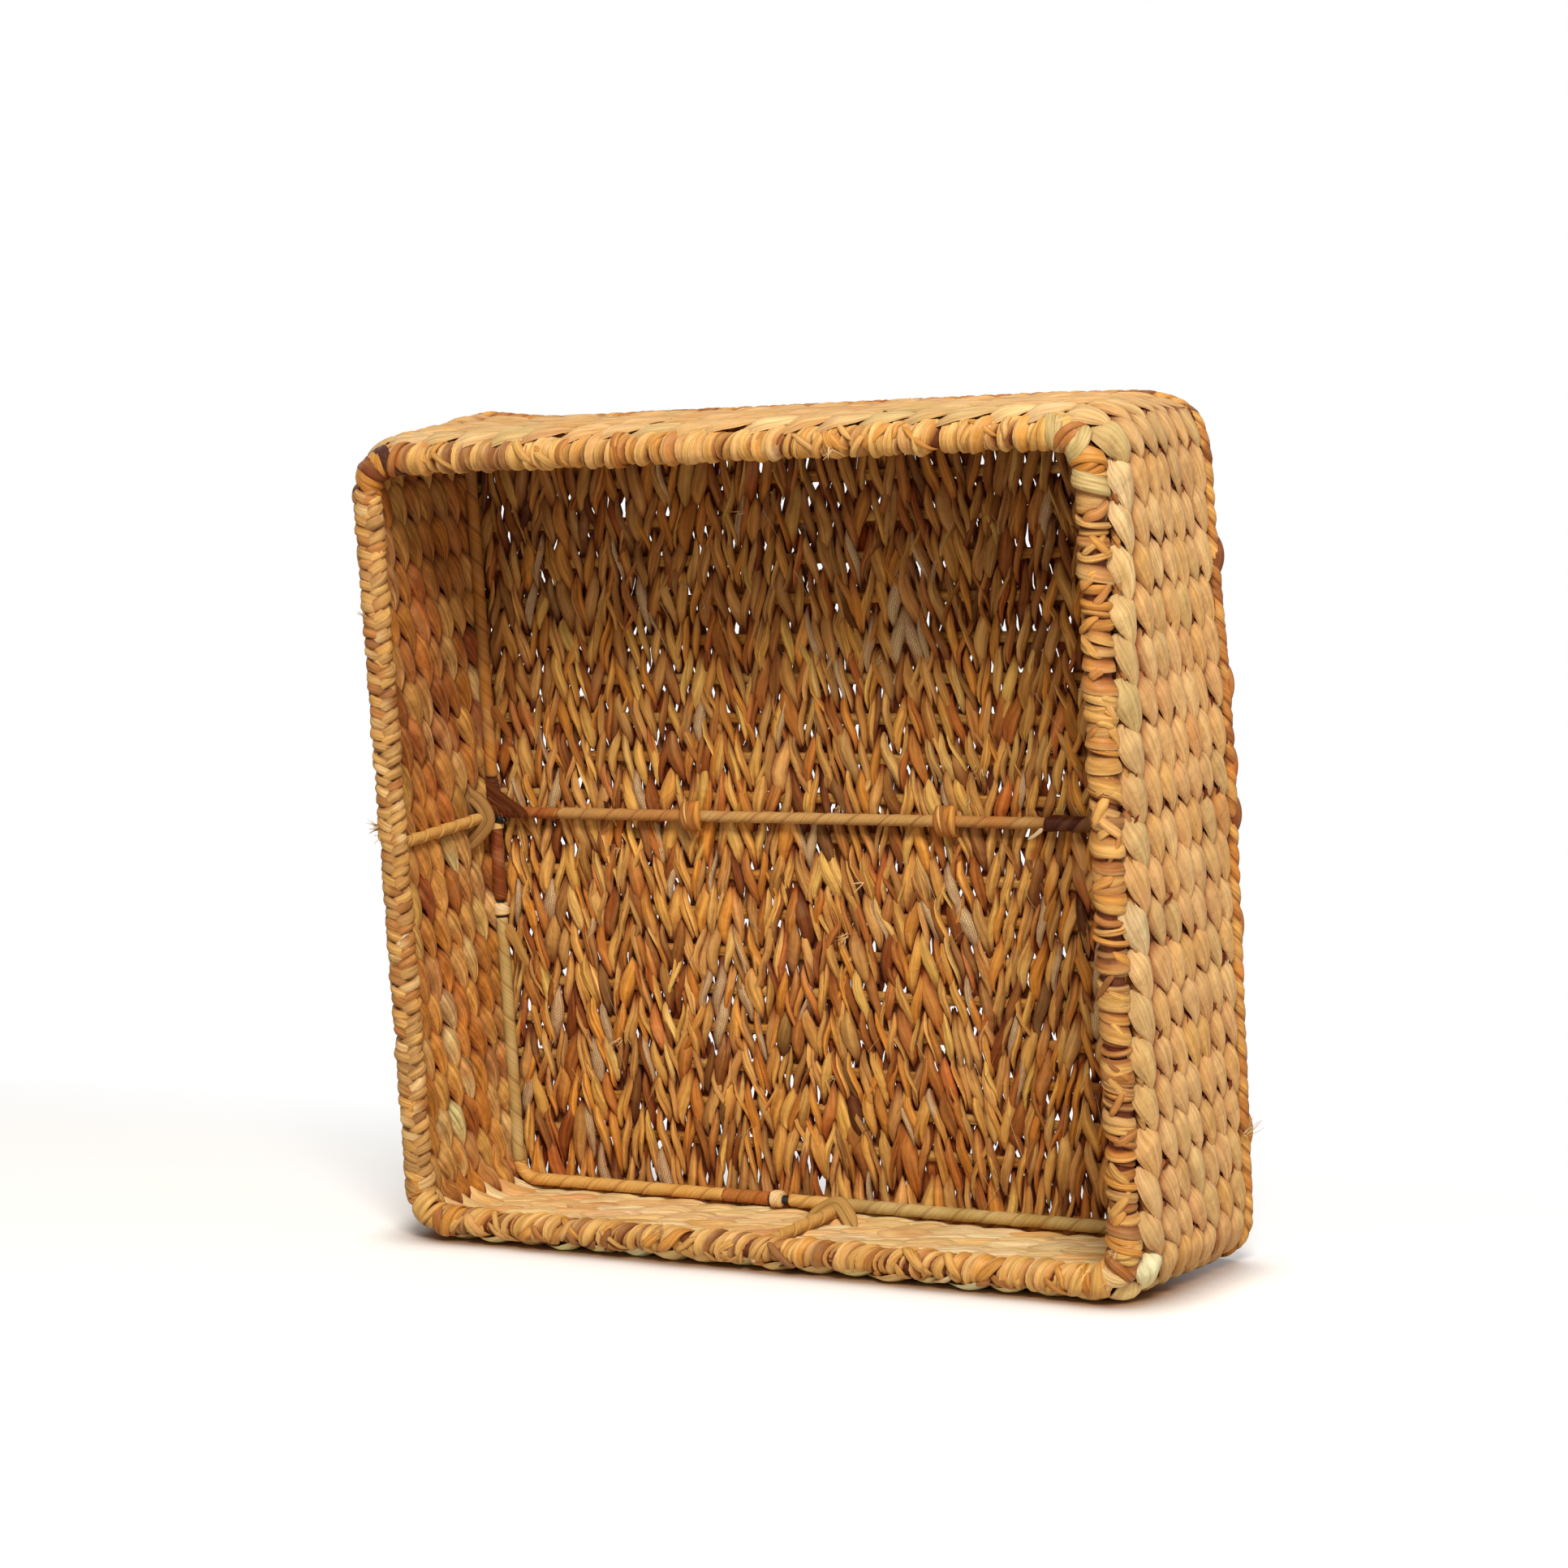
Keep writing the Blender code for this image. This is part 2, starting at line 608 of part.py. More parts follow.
def make_end_stakes():
    """Stakes of the top and bottom walls, hooked over the end warp that carries them."""
    section = bpy.data.objects["warp_section"]
    spine_section = section_curve("end_warp_section", FLAT_SHARES, END_WARP_THICK, STAKE_WIDE, 0.0)
    spine_x = BEND_CENTRE - STAKE_WIDE / 2
    finish = leaf("leaf", LEAF)
    for index, side in ((1, "top"), (3, "bottom")):
        turn = wall_turn(index)
        reach = stake_places()[-1] + STAKE_WIDE / 2
        sign = 1 if index == 1 else -1
        ends = [Vector((-reach, WARP_Y, 0.0)), Vector((reach, WARP_Y, 0.0))]
        lift = Matrix.Translation((0.0, 0.0, sign * spine_x))
        spine = swept("end_stakes_" + side, ends, spine_section, False, finish, lift)
        hooks = new_collection("hooks_" + side)
        for number, z in enumerate(stake_places()):
            name = "hook_" + side + "_" + str(number + 1)
            slide = turn @ Matrix.Translation((0.0, 0.0, z))
            hook = swept(name, stake_path(spine_x - STAKE_WIDE / 4), section, False, finish, slide)
            as_cutter(hook)
            hooks.objects.link(hook)
        union = spine.modifiers.new("join_hooks", "BOOLEAN")
        union.operation = "UNION"
        union.operand_type = "COLLECTION"
        union.collection = hooks
        union.solver = "EXACT"


def base_sheet(name, half, corner, face, crest, finish):
    """One side of the base weave: upright columns lying side by side, cut to a square with round corners."""
    pitch = 2 * half / BASE_COLUMNS
    valley = face + (COLUMN_THICK - COLUMN_GROOVE if crest > face else -(COLUMN_THICK - COLUMN_GROOVE))
    blank = half + OVERRUN
    outline = [(blank, face), (-blank, face), (-blank, valley)]
    for column in range(BASE_COLUMNS):
        left = -half + column * pitch
        outline += [(left + share * pitch, crest) for share in COLUMN_CREST_SHARES]
        if column < BASE_COLUMNS - 1:
            outline.append((left + pitch, valley))
    outline.append((blank, valley))
    curve = bpy.data.curves.new(name, "CURVE")
    curve.dimensions = "2D"
    curve.fill_mode = "BOTH"
    curve.extrude = blank
    spline = curve.splines.new("POLY")
    spline.points.add(len(outline) - 1)
    spline.use_cyclic_u = True
    for point, (x, y) in zip(spline.points, outline):
        point.co = (x, y, 0.0, 1.0)
    sheet = to_mesh(place(bpy.data.objects.new(name, curve), bpy.data.collections["basket"]), finish)
    prism = bpy.data.curves.new(name + "_outline", "CURVE")
    prism.dimensions = "2D"
    prism.fill_mode = "BOTH"
    prism.extrude = FRAME_DEPTH
    loop = square_loop(half, corner)
    spline = prism.splines.new("POLY")
    spline.points.add(len(loop) - 1)
    spline.use_cyclic_u = True
    for point, position in zip(spline.points, loop):
        point.co = (*position, 1.0)
    holder = bpy.data.objects.new(name + "_outline", prism)
    cutter = to_mesh(place(holder, bpy.data.collections["basket"], row_plane(face)), finish)
    cut(sheet, as_cutter(cutter), operation="INTERSECT")


def make_base():
    """The two sides of the base weave, and the roll of leaf round its outer edge."""
    front = FRONT_FACE + COLUMN_THICK
    base_sheet("base_columns_front", FRONT_HALF, BASE_CORNER, front, FRONT_FACE, leaf("leaf", LEAF))
    back = BACK_FACE + COLUMN_THICK
    base_sheet("base_columns_back", BACK_HALF, BASE_CORNER, BACK_FACE, back, leaf("leaf", LEAF))
    loop = square_loop(ROLL_HALF, WALL_CORNER)
    round_tube("edge_roll", loop, ROLL_R, True, leaf("brown_leaf", BROWN_LEAF), row_plane(ROLL_Y))


def seat_on_floor():
    """Tilt the basket onto its flared wall, lower it to z = 0 and centre it in x and y."""
    basket = bpy.data.objects["basket"]
    basket.rotation_euler = (TILT, 0.0, 0.0)
    bpy.context.view_layer.update()
    graph = bpy.context.evaluated_depsgraph_get()
    corners = []
    for item in bpy.data.collections["basket"].objects:
        shown = item.evaluated_get(graph)
        mesh = shown.to_mesh()
        corners += [shown.matrix_world @ vertex.co for vertex in mesh.vertices]
        shown.to_mesh_clear()
    low = [min(corner[axis] for corner in corners) for axis in range(3)]
    high = [max(corner[axis] for corner in corners) for axis in range(3)]
    basket.location = (-(low[0] + high[0]) / 2, -(low[1] + high[1]) / 2, -low[2])
    bpy.context.view_layer.update()
    print("basket stands at", tuple(round(value, 6) for value in basket.location), "tilt", round(TILT, 6))


def main():
    """Build the basket."""
    clear_scene()
    new_collection("basket")
    new_collection("cutters")
    bpy.context.scene.collection.objects.link(bpy.data.objects.new("basket", None))
    make_frame()
    upright_holes = make_upright_cutters()
    reach = Vector((BASE_HALF, 0.0, 0.0))
    middle = Vector((0.0, FRAME_DEPTH, BRACE_RAISE))
    brace_hole = as_cutter(rod("brace_hole", middle - reach, middle + reach, BRACE / 2 + GAP, steel()))
    span = Vector((BASE_HALF * 2, FRAME_DEPTH, BASE_HALF * 2))
    low = Vector((-span.x, FRONT_FACE - GAP, -span.z))
    base_plane = as_cutter(block("base_plane", low, span + Vector((0.0, FRAME_DEPTH, 0.0)), steel()))
    make_rim_whipping(upright_holes)
    make_base_wraps(upright_holes, brace_hole)
    make_joint_trim(upright_holes, brace_hole, base_plane)
    make_brace_wraps(base_plane)
    make_wall_rows(upright_holes)
    make_upright_loops()
    make_warps()
    make_end_stakes()
    make_base()
    seat_on_floor()


main()
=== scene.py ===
"""Looks of the square leaf basket: every strand, wrap and tie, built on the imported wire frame.

Shapes are worked out in the basket's own frame, as its maker sees it: the rim lies in the plane
y = 0, the walls run towards +Y and the woven base closes them. The stance then tilts it onto a wall.
"""

import json
import logging
import math
from collections.abc import Sequence
from dataclasses import dataclass
from enum import Enum
from itertools import groupby

import bmesh
import bpy
import numpy as np
from mathutils import Matrix, Vector


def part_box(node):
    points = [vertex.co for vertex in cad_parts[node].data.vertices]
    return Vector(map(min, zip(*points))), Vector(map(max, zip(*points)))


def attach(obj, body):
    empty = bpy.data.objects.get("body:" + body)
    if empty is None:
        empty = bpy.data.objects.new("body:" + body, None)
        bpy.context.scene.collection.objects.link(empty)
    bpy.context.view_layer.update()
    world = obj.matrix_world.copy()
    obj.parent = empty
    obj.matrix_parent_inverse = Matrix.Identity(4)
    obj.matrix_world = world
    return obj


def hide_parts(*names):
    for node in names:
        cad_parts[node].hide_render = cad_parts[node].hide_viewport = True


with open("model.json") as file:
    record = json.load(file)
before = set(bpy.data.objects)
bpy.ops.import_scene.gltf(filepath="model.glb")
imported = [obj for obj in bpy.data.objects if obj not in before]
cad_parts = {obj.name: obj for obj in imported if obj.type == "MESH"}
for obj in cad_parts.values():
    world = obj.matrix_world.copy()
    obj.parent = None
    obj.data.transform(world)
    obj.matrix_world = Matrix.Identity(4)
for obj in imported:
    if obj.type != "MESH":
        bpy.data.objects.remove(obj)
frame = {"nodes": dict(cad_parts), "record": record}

logging.basicConfig(level=logging.INFO, format="%(message)s")
log = logging.getLogger("basket")

Array = np.ndarray


class Leaf(Enum):
    """Colours of the dried leaf, as 0 to 255 values on a screen."""

    HONEY = (226, 172, 90)
    PEACH = (236, 182, 112)
    PALE = (246, 210, 146)
    SAGE = (208, 182, 120)
    SHELL = (234, 190, 130)
    PINK = (222, 160, 104)
    ORANGE = (214, 138, 54)
    GOLD = (216, 150, 62)
    OCHRE = (196, 128, 46)
    TAN = (182, 114, 50)
    STRAW = (228, 180, 100)
    BROWN = (128, 64, 22)
    DARK = (76, 32, 10)
    RED = (152, 74, 34)
    RUST = (186, 106, 48)
    CREAM = (250, 226, 180)
    OLIVE = (186, 152, 84)
    DUSK = (166, 112, 56)
    WINE = (80, 36, 20)
    FAWN = (196, 152, 90)

    def linear(self) -> Array:
        """The colour as linear light."""
        share = np.array(self.value) / 255.0
        return np.where(share <= 0.04045, share / 12.92, ((share + 0.055) / 1.055) ** 2.4)


@dataclass(frozen=True)
class Mixture:
    """A bundle of leaf to draw from.

    Args:
        parts: each colour with its weight.
        spread: how far the brightness varies between leaves.
        calm: how far each leaf is drawn towards the bundle's mean.
        bright: a factor on all its leaves.
    """

    parts: tuple[tuple[Leaf, float], ...]
    spread: float = 0.1
    calm: float = 0.25
    bright: float = 1.0

    def draw(self, rng: np.random.Generator, count: int) -> Array:
        """Draw leaf colours.

        Args:
            rng: the seeded source of chance.
            count: how many leaves.

        Returns:
            One linear colour a row.
        """
        weights = np.array([weight for _, weight in self.parts])
        picks = rng.choice(len(self.parts), size=count, p=weights / weights.sum())
        leaves = np.array([leaf.linear() for leaf, _ in self.parts])
        mean = (leaves * weights[:, None]).sum(axis=0) / weights.sum()
        colours = leaves[picks] * (1.0 - self.calm) + mean * self.calm
        return colours * self.bright * (1.0 + rng.uniform(-self.spread, self.spread, (count, 1)))


def bundle(spread: float = 0.1, calm: float = 0.25, bright: float = 1.0, **weights: float) -> Mixture:
    """A bundle of leaf from the names of its colours.

    Args:
        spread: how far the brightness varies between leaves.
        calm: how far each leaf is drawn towards the bundle's mean.
        bright: a factor on all its leaves.
        weights: each colour's name with its weight.

    Returns:
        The bundle.
    """
    return Mixture(tuple((Leaf[name], weight) for name, weight in weights.items()), spread, calm, bright)


OUTER_LEAF = bundle(0.08, 0.4, SHELL=9, PEACH=3, HONEY=1.5, SAGE=1.5, PINK=2, PALE=1, ORANGE=0.2)
FIRST_ROW_LEAF = bundle(0.08, 0.3, SAGE=4, PALE=3, CREAM=1.5, SHELL=3, PEACH=2, PINK=1)
SIDE_LEAF = bundle(0.27, 0.1, 1.06, RUST=4, RED=2, ORANGE=4, TAN=4, HONEY=3, PEACH=1, SAGE=0.7, OCHRE=1)
# Brighter leaf for the lower half of the left wall inside and paler leaf for the inside of the wall that the basket
# stands on: partly the leaf's own tone, partly painted light.
LOW_SIDE_LEAF = bundle(0.2, 0.1, 1.22, PEACH=2, HONEY=3, ORANGE=5, GOLD=2, RUST=2, RED=1, PALE=0.8)
FLOOR_LEAF = bundle(0.08, 0.25, 1.1, PALE=6, CREAM=5, PEACH=4, SAGE=2.5, STRAW=2, PINK=1, RUST=0.5)
BASE_LEAF = bundle(0.22, 0.1, GOLD=5, FAWN=5, TAN=4, STRAW=5, BROWN=2.5, HONEY=4, DARK=0.7, DUSK=1.5, RUST=1.2, PEACH=2)
PLAIT_LEAF = bundle(0.13, 0.3, FAWN=5, HONEY=2, STRAW=3, PALE=1, TAN=3, BROWN=0.4)
RIM_LEAF = bundle(0.1, GOLD=4, HONEY=5, STRAW=4, PEACH=2, TAN=2, CREAM=0.25, BROWN=0.9)
DULL_RIM_LEAF = bundle(0.12, GOLD=2, FAWN=5, TAN=4, OCHRE=1.5, HONEY=3, STRAW=1, BROWN=0.8)
ROLL_LEAF = bundle(0.12, 0.25, 1.1, HONEY=5, TAN=3, ORANGE=2, BROWN=1)
STAKE_LEAF = bundle(0.08, OCHRE=2, GOLD=3, STRAW=3, HONEY=2)
FRAY_LEAF = bundle(0.06, CREAM=3, PALE=3, STRAW=2, TAN=1)


@dataclass(frozen=True)
class Stance:
    """Where the basket's own frame stands in the scene.

    Args:
        tilt: the turn about +X that lays one flared wall on the floor.
        place: the middle of the rim.
    """

    tilt: float
    place: Array

    @classmethod
    def read(cls) -> "Stance":
        """Take the tilt from the record's base mount and the place from the rim wire."""
        mounts = {mount["name"]: mount for mount in frame["record"]["mounts"]}
        axis = mounts["base_rest"]["axis"]
        low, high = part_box("rim_wire")
        return cls(math.atan2(axis[2], axis[1]), (np.array(low) + np.array(high)) / 2)

    def seat(self, points: Array) -> Array:
        """Turn points of the basket's frame into the scene's.

        Args:
            points: rows of x, y, z.

        Returns:
            The same rows, tilted and lifted onto the floor.
        """
        cos, sin = math.cos(self.tilt), math.sin(self.tilt)
        turn = np.array(((1.0, 0.0, 0.0), (0.0, cos, -sin), (0.0, sin, cos)))
        return points @ turn.T + self.place


STANCE = Stance.read()
MOUTH = np.array((0.0, -1.0, 0.0))


def unit(rows: Array) -> Array:
    """Rows scaled to length one."""
    return rows / np.maximum(np.linalg.norm(rows, axis=-1, keepdims=True), 1e-12)


def ease(share: Array) -> Array:
    """A smooth step from 0 to 1."""
    share = np.clip(share, 0.0, 1.0)
    return share * share * (3.0 - 2.0 * share)


def drift(rng: np.random.Generator, count: int, knots: int, closed: bool = False) -> Array:
    """A slow wander between -1 and 1.

    Args:
        rng: the seeded source of chance.
        count: how many samples.
        knots: how many separate values it passes through.
        closed: whether the end meets the start.

    Returns:
        The samples.
    """
    values = rng.uniform(-1.0, 1.0, knots + 1)
    if closed:
        values[-1] = values[0]
    place = np.linspace(0.0, knots, count, endpoint=not closed)
    low = np.minimum(place.astype(int), knots - 1)
    share = ease(place - low)
    return values[low] * (1.0 - share) + values[low + 1] * share


def by_lobe(values: Array, phase: Array, first: int = 0) -> Array:
    """Give each lobe of a strand its own value, changed over where the strand dives.

    Args:
        values: one value or row a lobe.
        phase: the count of lobes at each sample.
        first: the phase of the first value.

    Returns:
        One value or row a sample.
    """
    low = np.floor(phase).astype(int)
    share = ease((phase - low - 0.36) / 0.28)
    if values.ndim > 1:
        share = share[:, None]
    here, after = (low - first) % len(values), (low + 1 - first) % len(values)
    return values[here] * (1.0 - share) + values[after] * share


def painted_edge_shade(dive: Array, sides: int, strength: float) -> Array:
    """Painted shade: deepen a strand's colour along both its edges as well as where it dives.

    Args:
        dive: the painted shade at each ring.
        sides: points round a ring.
        strength: the painted shade along the edges.

    Returns:
        One value for each point of each ring.
    """
    edge = strength * np.abs(np.cos(np.arange(sides) * 2 * math.pi / sides)) ** 4
    return np.maximum(dive[:, None], edge[None, :])


def streaked(first: Array, second: Array, sides: int, swing: Array) -> Array:
    """Let a second leaf's colour show along part of a strand.

    Args:
        first: the main colour at each ring.
        second: the other colour.
        sides: points round a ring.
        swing: where round the strand the other colour lies.

    Returns:
        One colour for each point of each ring.
    """
    angles = np.arange(sides) * 2 * math.pi / sides
    share = 0.55 * np.clip(np.cos(angles[None, :] - swing[:, None]), 0.0, 1.0)[..., None] ** 2
    return first[:, None] * (1.0 - share) + second[:, None] * share


def spindle(share: Array, start: float, end: float) -> Array:
    """The breadth of a leaf from one dive to the next: nothing at both, one at its widest.

    Args:
        share: how far from dive to dive.
        start: how bluntly it opens; a small power is blunt.
        end: how bluntly it closes.

    Returns:
        The breadth.
    """
    share = np.clip(share, 1e-4, 1.0 - 1e-4)
    top = start / (start + end)
    return (share**start * (1.0 - share) ** end) / (top**start * (1.0 - top) ** end)


def tapered(count: int, share: float) -> Array:
    """A width profile that closes to a point over a share of its length at both ends."""
    place = np.linspace(0.0, 1.0, count)
    return np.sqrt(np.clip(np.minimum(place, 1.0 - place) / share, 0.0, 1.0))


@dataclass(frozen=True)
class Sag:
    """How the weave has given way along the back of the upper wall and at its right corner.

    Args:
        down: how far the back of the upper wall sinks in its middle.
        right_share: how much further it sinks towards its right end.
        inward: how far the top of the right wall leans in.
        corner: how far the right back corner is rounded off, each way.
        firm: the distance from the middle up to which nothing moves, where the wires hold the weave.
        skin: how much further out it moves in full.
        depth: how far behind the rim it moves in full.
    """

    down: float = 0.0045
    right_share: float = 0.3
    inward: float = 0.005
    corner: float = 0.004
    firm: float = 0.172
    skin: float = 0.012
    depth: float = 0.08

    def settle(self, rows: Array) -> Array:
        """Let points of the weave sink, by about 7 mm along the walls and 10 mm in the corner at most.

        Args:
            rows: rows of x, y, z in the basket's frame.

        Returns:
            The same rows, moved.
        """
        x, y, z = rows.T
        back = ease((y - 0.01) / self.depth)
        corner = self.corner * ease((x + z - 0.335) / 0.03)
        inward = self.inward * ease((z - 0.02) / 0.14) * ease((x - self.firm) / self.skin) + corner
        reach = ease((x + 0.185) / 0.06) * (1.0 + self.right_share * ease((x - 0.1) / 0.08))
        down = self.down * reach * ease((z - self.firm) / self.skin) + corner
        return rows - np.stack((back * inward, np.zeros(len(rows)), back * down), axis=1)


SAG = Sag()


def curve_through(points: Sequence[Sequence[float]], count: int) -> Array:
    """A smooth line through a few points.

    Args:
        points: the points to pass.
        count: how many samples.

    Returns:
        The samples, at even steps between the points.
    """
    rows = np.array(points, dtype=float)
    padded = np.vstack((2 * rows[0] - rows[1], rows, 2 * rows[-1] - rows[-2]))
    place = np.linspace(0.0, len(rows) - 1.0, count)
    low = np.minimum(place.astype(int), len(rows) - 2)
    share = (place - low)[:, None]
    a, b, c, d = (padded[low + step] for step in range(4))
    cubic = -a + 3 * b - 3 * c + d
    square = 2 * a - 5 * b + 4 * c - d
    return 0.5 * (2 * b + (c - a) * share + square * share**2 + cubic * share**3)


@dataclass(frozen=True)
class SquareLoop:
    """A square with round corners at one depth, travelled clockwise as seen through the mouth.

    Args:
        half: half its side.
        radius: its corner radius.
        depth: its distance behind the rim.
    """

    half: float
    radius: float
    depth: float

    @property
    def straight(self) -> float:
        """The straight part of a side."""
        return 2 * (self.half - self.radius)

    @property
    def quarter(self) -> float:
        """One side and one corner."""
        return self.straight + self.radius * math.pi / 2

    def at(self, distance: Array) -> tuple[Array, Array, Array]:
        """Follow the loop.

        Args:
            distance: how far along, from the left end of the top side.

        Returns:
            Points, outward directions and directions towards the mouth.
        """
        side = np.floor(distance / self.quarter)
        rest = distance - side * self.quarter
        bend = np.clip((rest - self.straight) / self.radius, 0.0, math.pi / 2)
        run = np.minimum(rest, self.straight) - self.straight / 2
        out = np.stack((np.sin(bend), np.cos(bend)), axis=1)
        flat = out * self.radius + np.stack((run, np.full_like(run, self.half - self.radius)), axis=1)
        turn = -side * math.pi / 2
        cos, sin = np.cos(turn), np.sin(turn)

        def stand(pairs: Array, depth: float) -> Array:
            x = pairs[:, 0] * cos - pairs[:, 1] * sin
            z = pairs[:, 0] * sin + pairs[:, 1] * cos
            return np.stack((x, np.full_like(x, depth), z), axis=1)

        return stand(flat, self.depth), stand(out, 0.0), np.tile(MOUTH, (len(distance), 1))


@dataclass(frozen=True)
class StraightRun:
    """A straight wire.

    Args:
        start: its first end.
        end: its other end.
        out: the direction that angles round it are counted from.
    """

    start: tuple[float, float, float]
    end: tuple[float, float, float]
    out: tuple[float, float, float]

    @property
    def length(self) -> float:
        """The distance between its ends."""
        return float(np.linalg.norm(np.array(self.end) - np.array(self.start)))

    def at(self, distance: Array) -> tuple[Array, Array, Array]:
        """Points on the wire, with two directions square to it.

        Args:
            distance: how far along, from the start.

        Returns:
            Points, out directions and the directions a quarter turn on.
        """
        along = unit(np.array(self.end) - np.array(self.start))
        out = np.array(self.out) - along * np.dot(self.out, along)
        out = unit(out)
        side = np.cross(out, along)
        points = np.array(self.start) + distance[:, None] * along
        return points, np.tile(out, (len(distance), 1)), np.tile(side, (len(distance), 1))


def creased(rng: np.random.Generator, count: int, sides: int, folds: int, depth: float, closed: bool = False) -> Array:
    """Lengthwise folds in a leaf, as factors on its thickness.

    Args:
        rng: the seeded source of chance.
        count: rings along the leaf.
        sides: points round a ring.
        folds: how many folds.
        depth: the deepest fold, as a share of the thickness.
        closed: whether the leaf runs into its own start.

    Returns:
        One factor for each point of each ring.
    """
    angles = np.arange(sides) * 2 * math.pi / sides
    factors = np.ones((count, sides))
    knots = max(3, count // 8)
    for fold in range(folds):
        middle = math.pi * (2 * fold + 1) / folds + 0.45 * drift(rng, count, knots, closed)
        apart = (angles[None, :] - middle[:, None] + math.pi) % (2 * math.pi) - math.pi
        strength = depth * (0.5 + 0.5 * drift(rng, count, knots, closed))
        factors -= strength[:, None] * np.exp(-((apart / 0.33) ** 2))
    return factors


def sweep(
    points: Array,
    faces: Array,
    half_width: Array | float,
    half_thick: Array | float,
    sides: int = 8,
    lean: float = 0.0,
    folds: Array | None = None,
    closed: bool = False,
    cup: Array | float = 0.0,
) -> Array:
    """Sweep a flat oval along a line.

    Args:
        points: the line.
        faces: the way the broad side looks at each point.
        half_width: half the breadth at each point.
        half_thick: half the thickness at each point.
        sides: points round a ring.
        lean: how much one edge stands over the other, as a share of the half width.
        folds: factors on the thickness, from creased.
        closed: whether the line runs into its own start.
        cup: how far the edges bend back.

    Returns:
        Rings of points, shaped rings, sides, 3.
    """
    if closed:
        along = np.roll(points, -1, axis=0) - np.roll(points, 1, axis=0)
    else:
        along = np.gradient(points, axis=0)
    along = unit(along)
    across = unit(np.cross(faces, along))
    up = np.cross(along, across)
    angles = np.arange(sides) * 2 * math.pi / sides
    wide = np.broadcast_to(np.asarray(half_width, dtype=float), len(points))[:, None] * np.cos(angles)
    high = np.broadcast_to(np.asarray(half_thick, dtype=float), len(points))[:, None] * np.sin(angles)
    if folds is not None:
        high = high * folds
    bent = np.broadcast_to(np.asarray(cup, dtype=float), len(points))[:, None] * np.cos(angles) ** 2
    high = high + lean * wide - bent
    return points[:, None] + wide[..., None] * across[:, None] + high[..., None] * up[:, None]


def wound(
    spine: SquareLoop | StraightRun,
    distance: Array,
    angle: Array,
    reach: Array | float,
    half_width: Array | float,
    half_thick: Array | float,
    **shape: object,
) -> Array:
    """Wind a strip of leaf round a wire.

    Args:
        spine: the wire.
        distance: how far along the wire each point lies.
        angle: how far round it each point lies.
        reach: its distance from the wire's centre.
        half_width: half the strip's breadth.
        half_thick: half its thickness.
        shape: what else sweep takes.

    Returns:
        Rings of points.
    """
    points, out, side = spine.at(distance)
    radial = np.cos(angle)[:, None] * out + np.sin(angle)[:, None] * side
    lifted = points + radial * np.broadcast_to(np.asarray(reach, dtype=float), len(points))[:, None]
    return sweep(lifted, radial, half_width, half_thick, **shape)


class Nodes:
    """A small hand for wiring one material."""

    def __init__(self, name: str) -> None:
        """Start a material with its shader and output.

        Args:
            name: the material's name.
        """
        self.material = bpy.data.materials.new(name)
        self.material.use_nodes = True
        self.tree = self.material.node_tree
        self.shader = self.tree.nodes["Principled BSDF"]

    def add(self, kind: str, inputs: dict[str | int, object] | None = None, **settings: object) -> bpy.types.Node:
        """Add a node.

        Args:
            kind: the node's type name without its ShaderNode start.
            inputs: values or output sockets for its inputs.
            settings: its own settings.

        Returns:
            The node.
        """
        node = self.tree.nodes.new("ShaderNode" + kind)
        for key, value in settings.items():
            setattr(node, key, value)
        for key, value in (inputs or {}).items():
            self.put(node.inputs[key], value)
        return node

    def put(self, socket: bpy.types.NodeSocket, value: object) -> None:
        """Link an output to a socket, or set its value."""
        if isinstance(value, bpy.types.NodeSocket):
            self.tree.links.new(value, socket)
        else:
            socket.default_value = value

    def ramp(
        self, share: bpy.types.NodeSocket, low: float, high: float, bottom: float = 0.0, top: float = 1.0
    ) -> bpy.types.NodeSocket:
        """Stretch a number from one range to another, clamped."""
        node = self.add(
            "MapRange", {"Value": share, "From Min": low, "From Max": high, "To Min": bottom, "To Max": top}
        )
        return node.outputs["Result"]

    def mix(self, share: object, under: object, over: object, blend: str = "MIX") -> bpy.types.NodeSocket:
        """Mix two colours."""
        node = self.add("Mix", data_type="RGBA", blend_type=blend)
        self.put(node.inputs["Factor"], share)
        self.put(node.inputs[6], under)
        self.put(node.inputs[7], over)
        return node.outputs[2]

    def sum(self, first: object, second: object, operation: str = "ADD") -> bpy.types.NodeSocket:
        """Add or multiply two numbers."""
        return self.add("Math", {0: first, 1: second}, operation=operation).outputs[0]

    def noise(self, vector: bpy.types.NodeSocket, scale: float, detail: float = 3.0) -> bpy.types.NodeSocket:
        """A noise on a vector."""
        return self.add("TexNoise", {"Vector": vector, "Scale": scale, "Detail": detail}).outputs["Fac"]


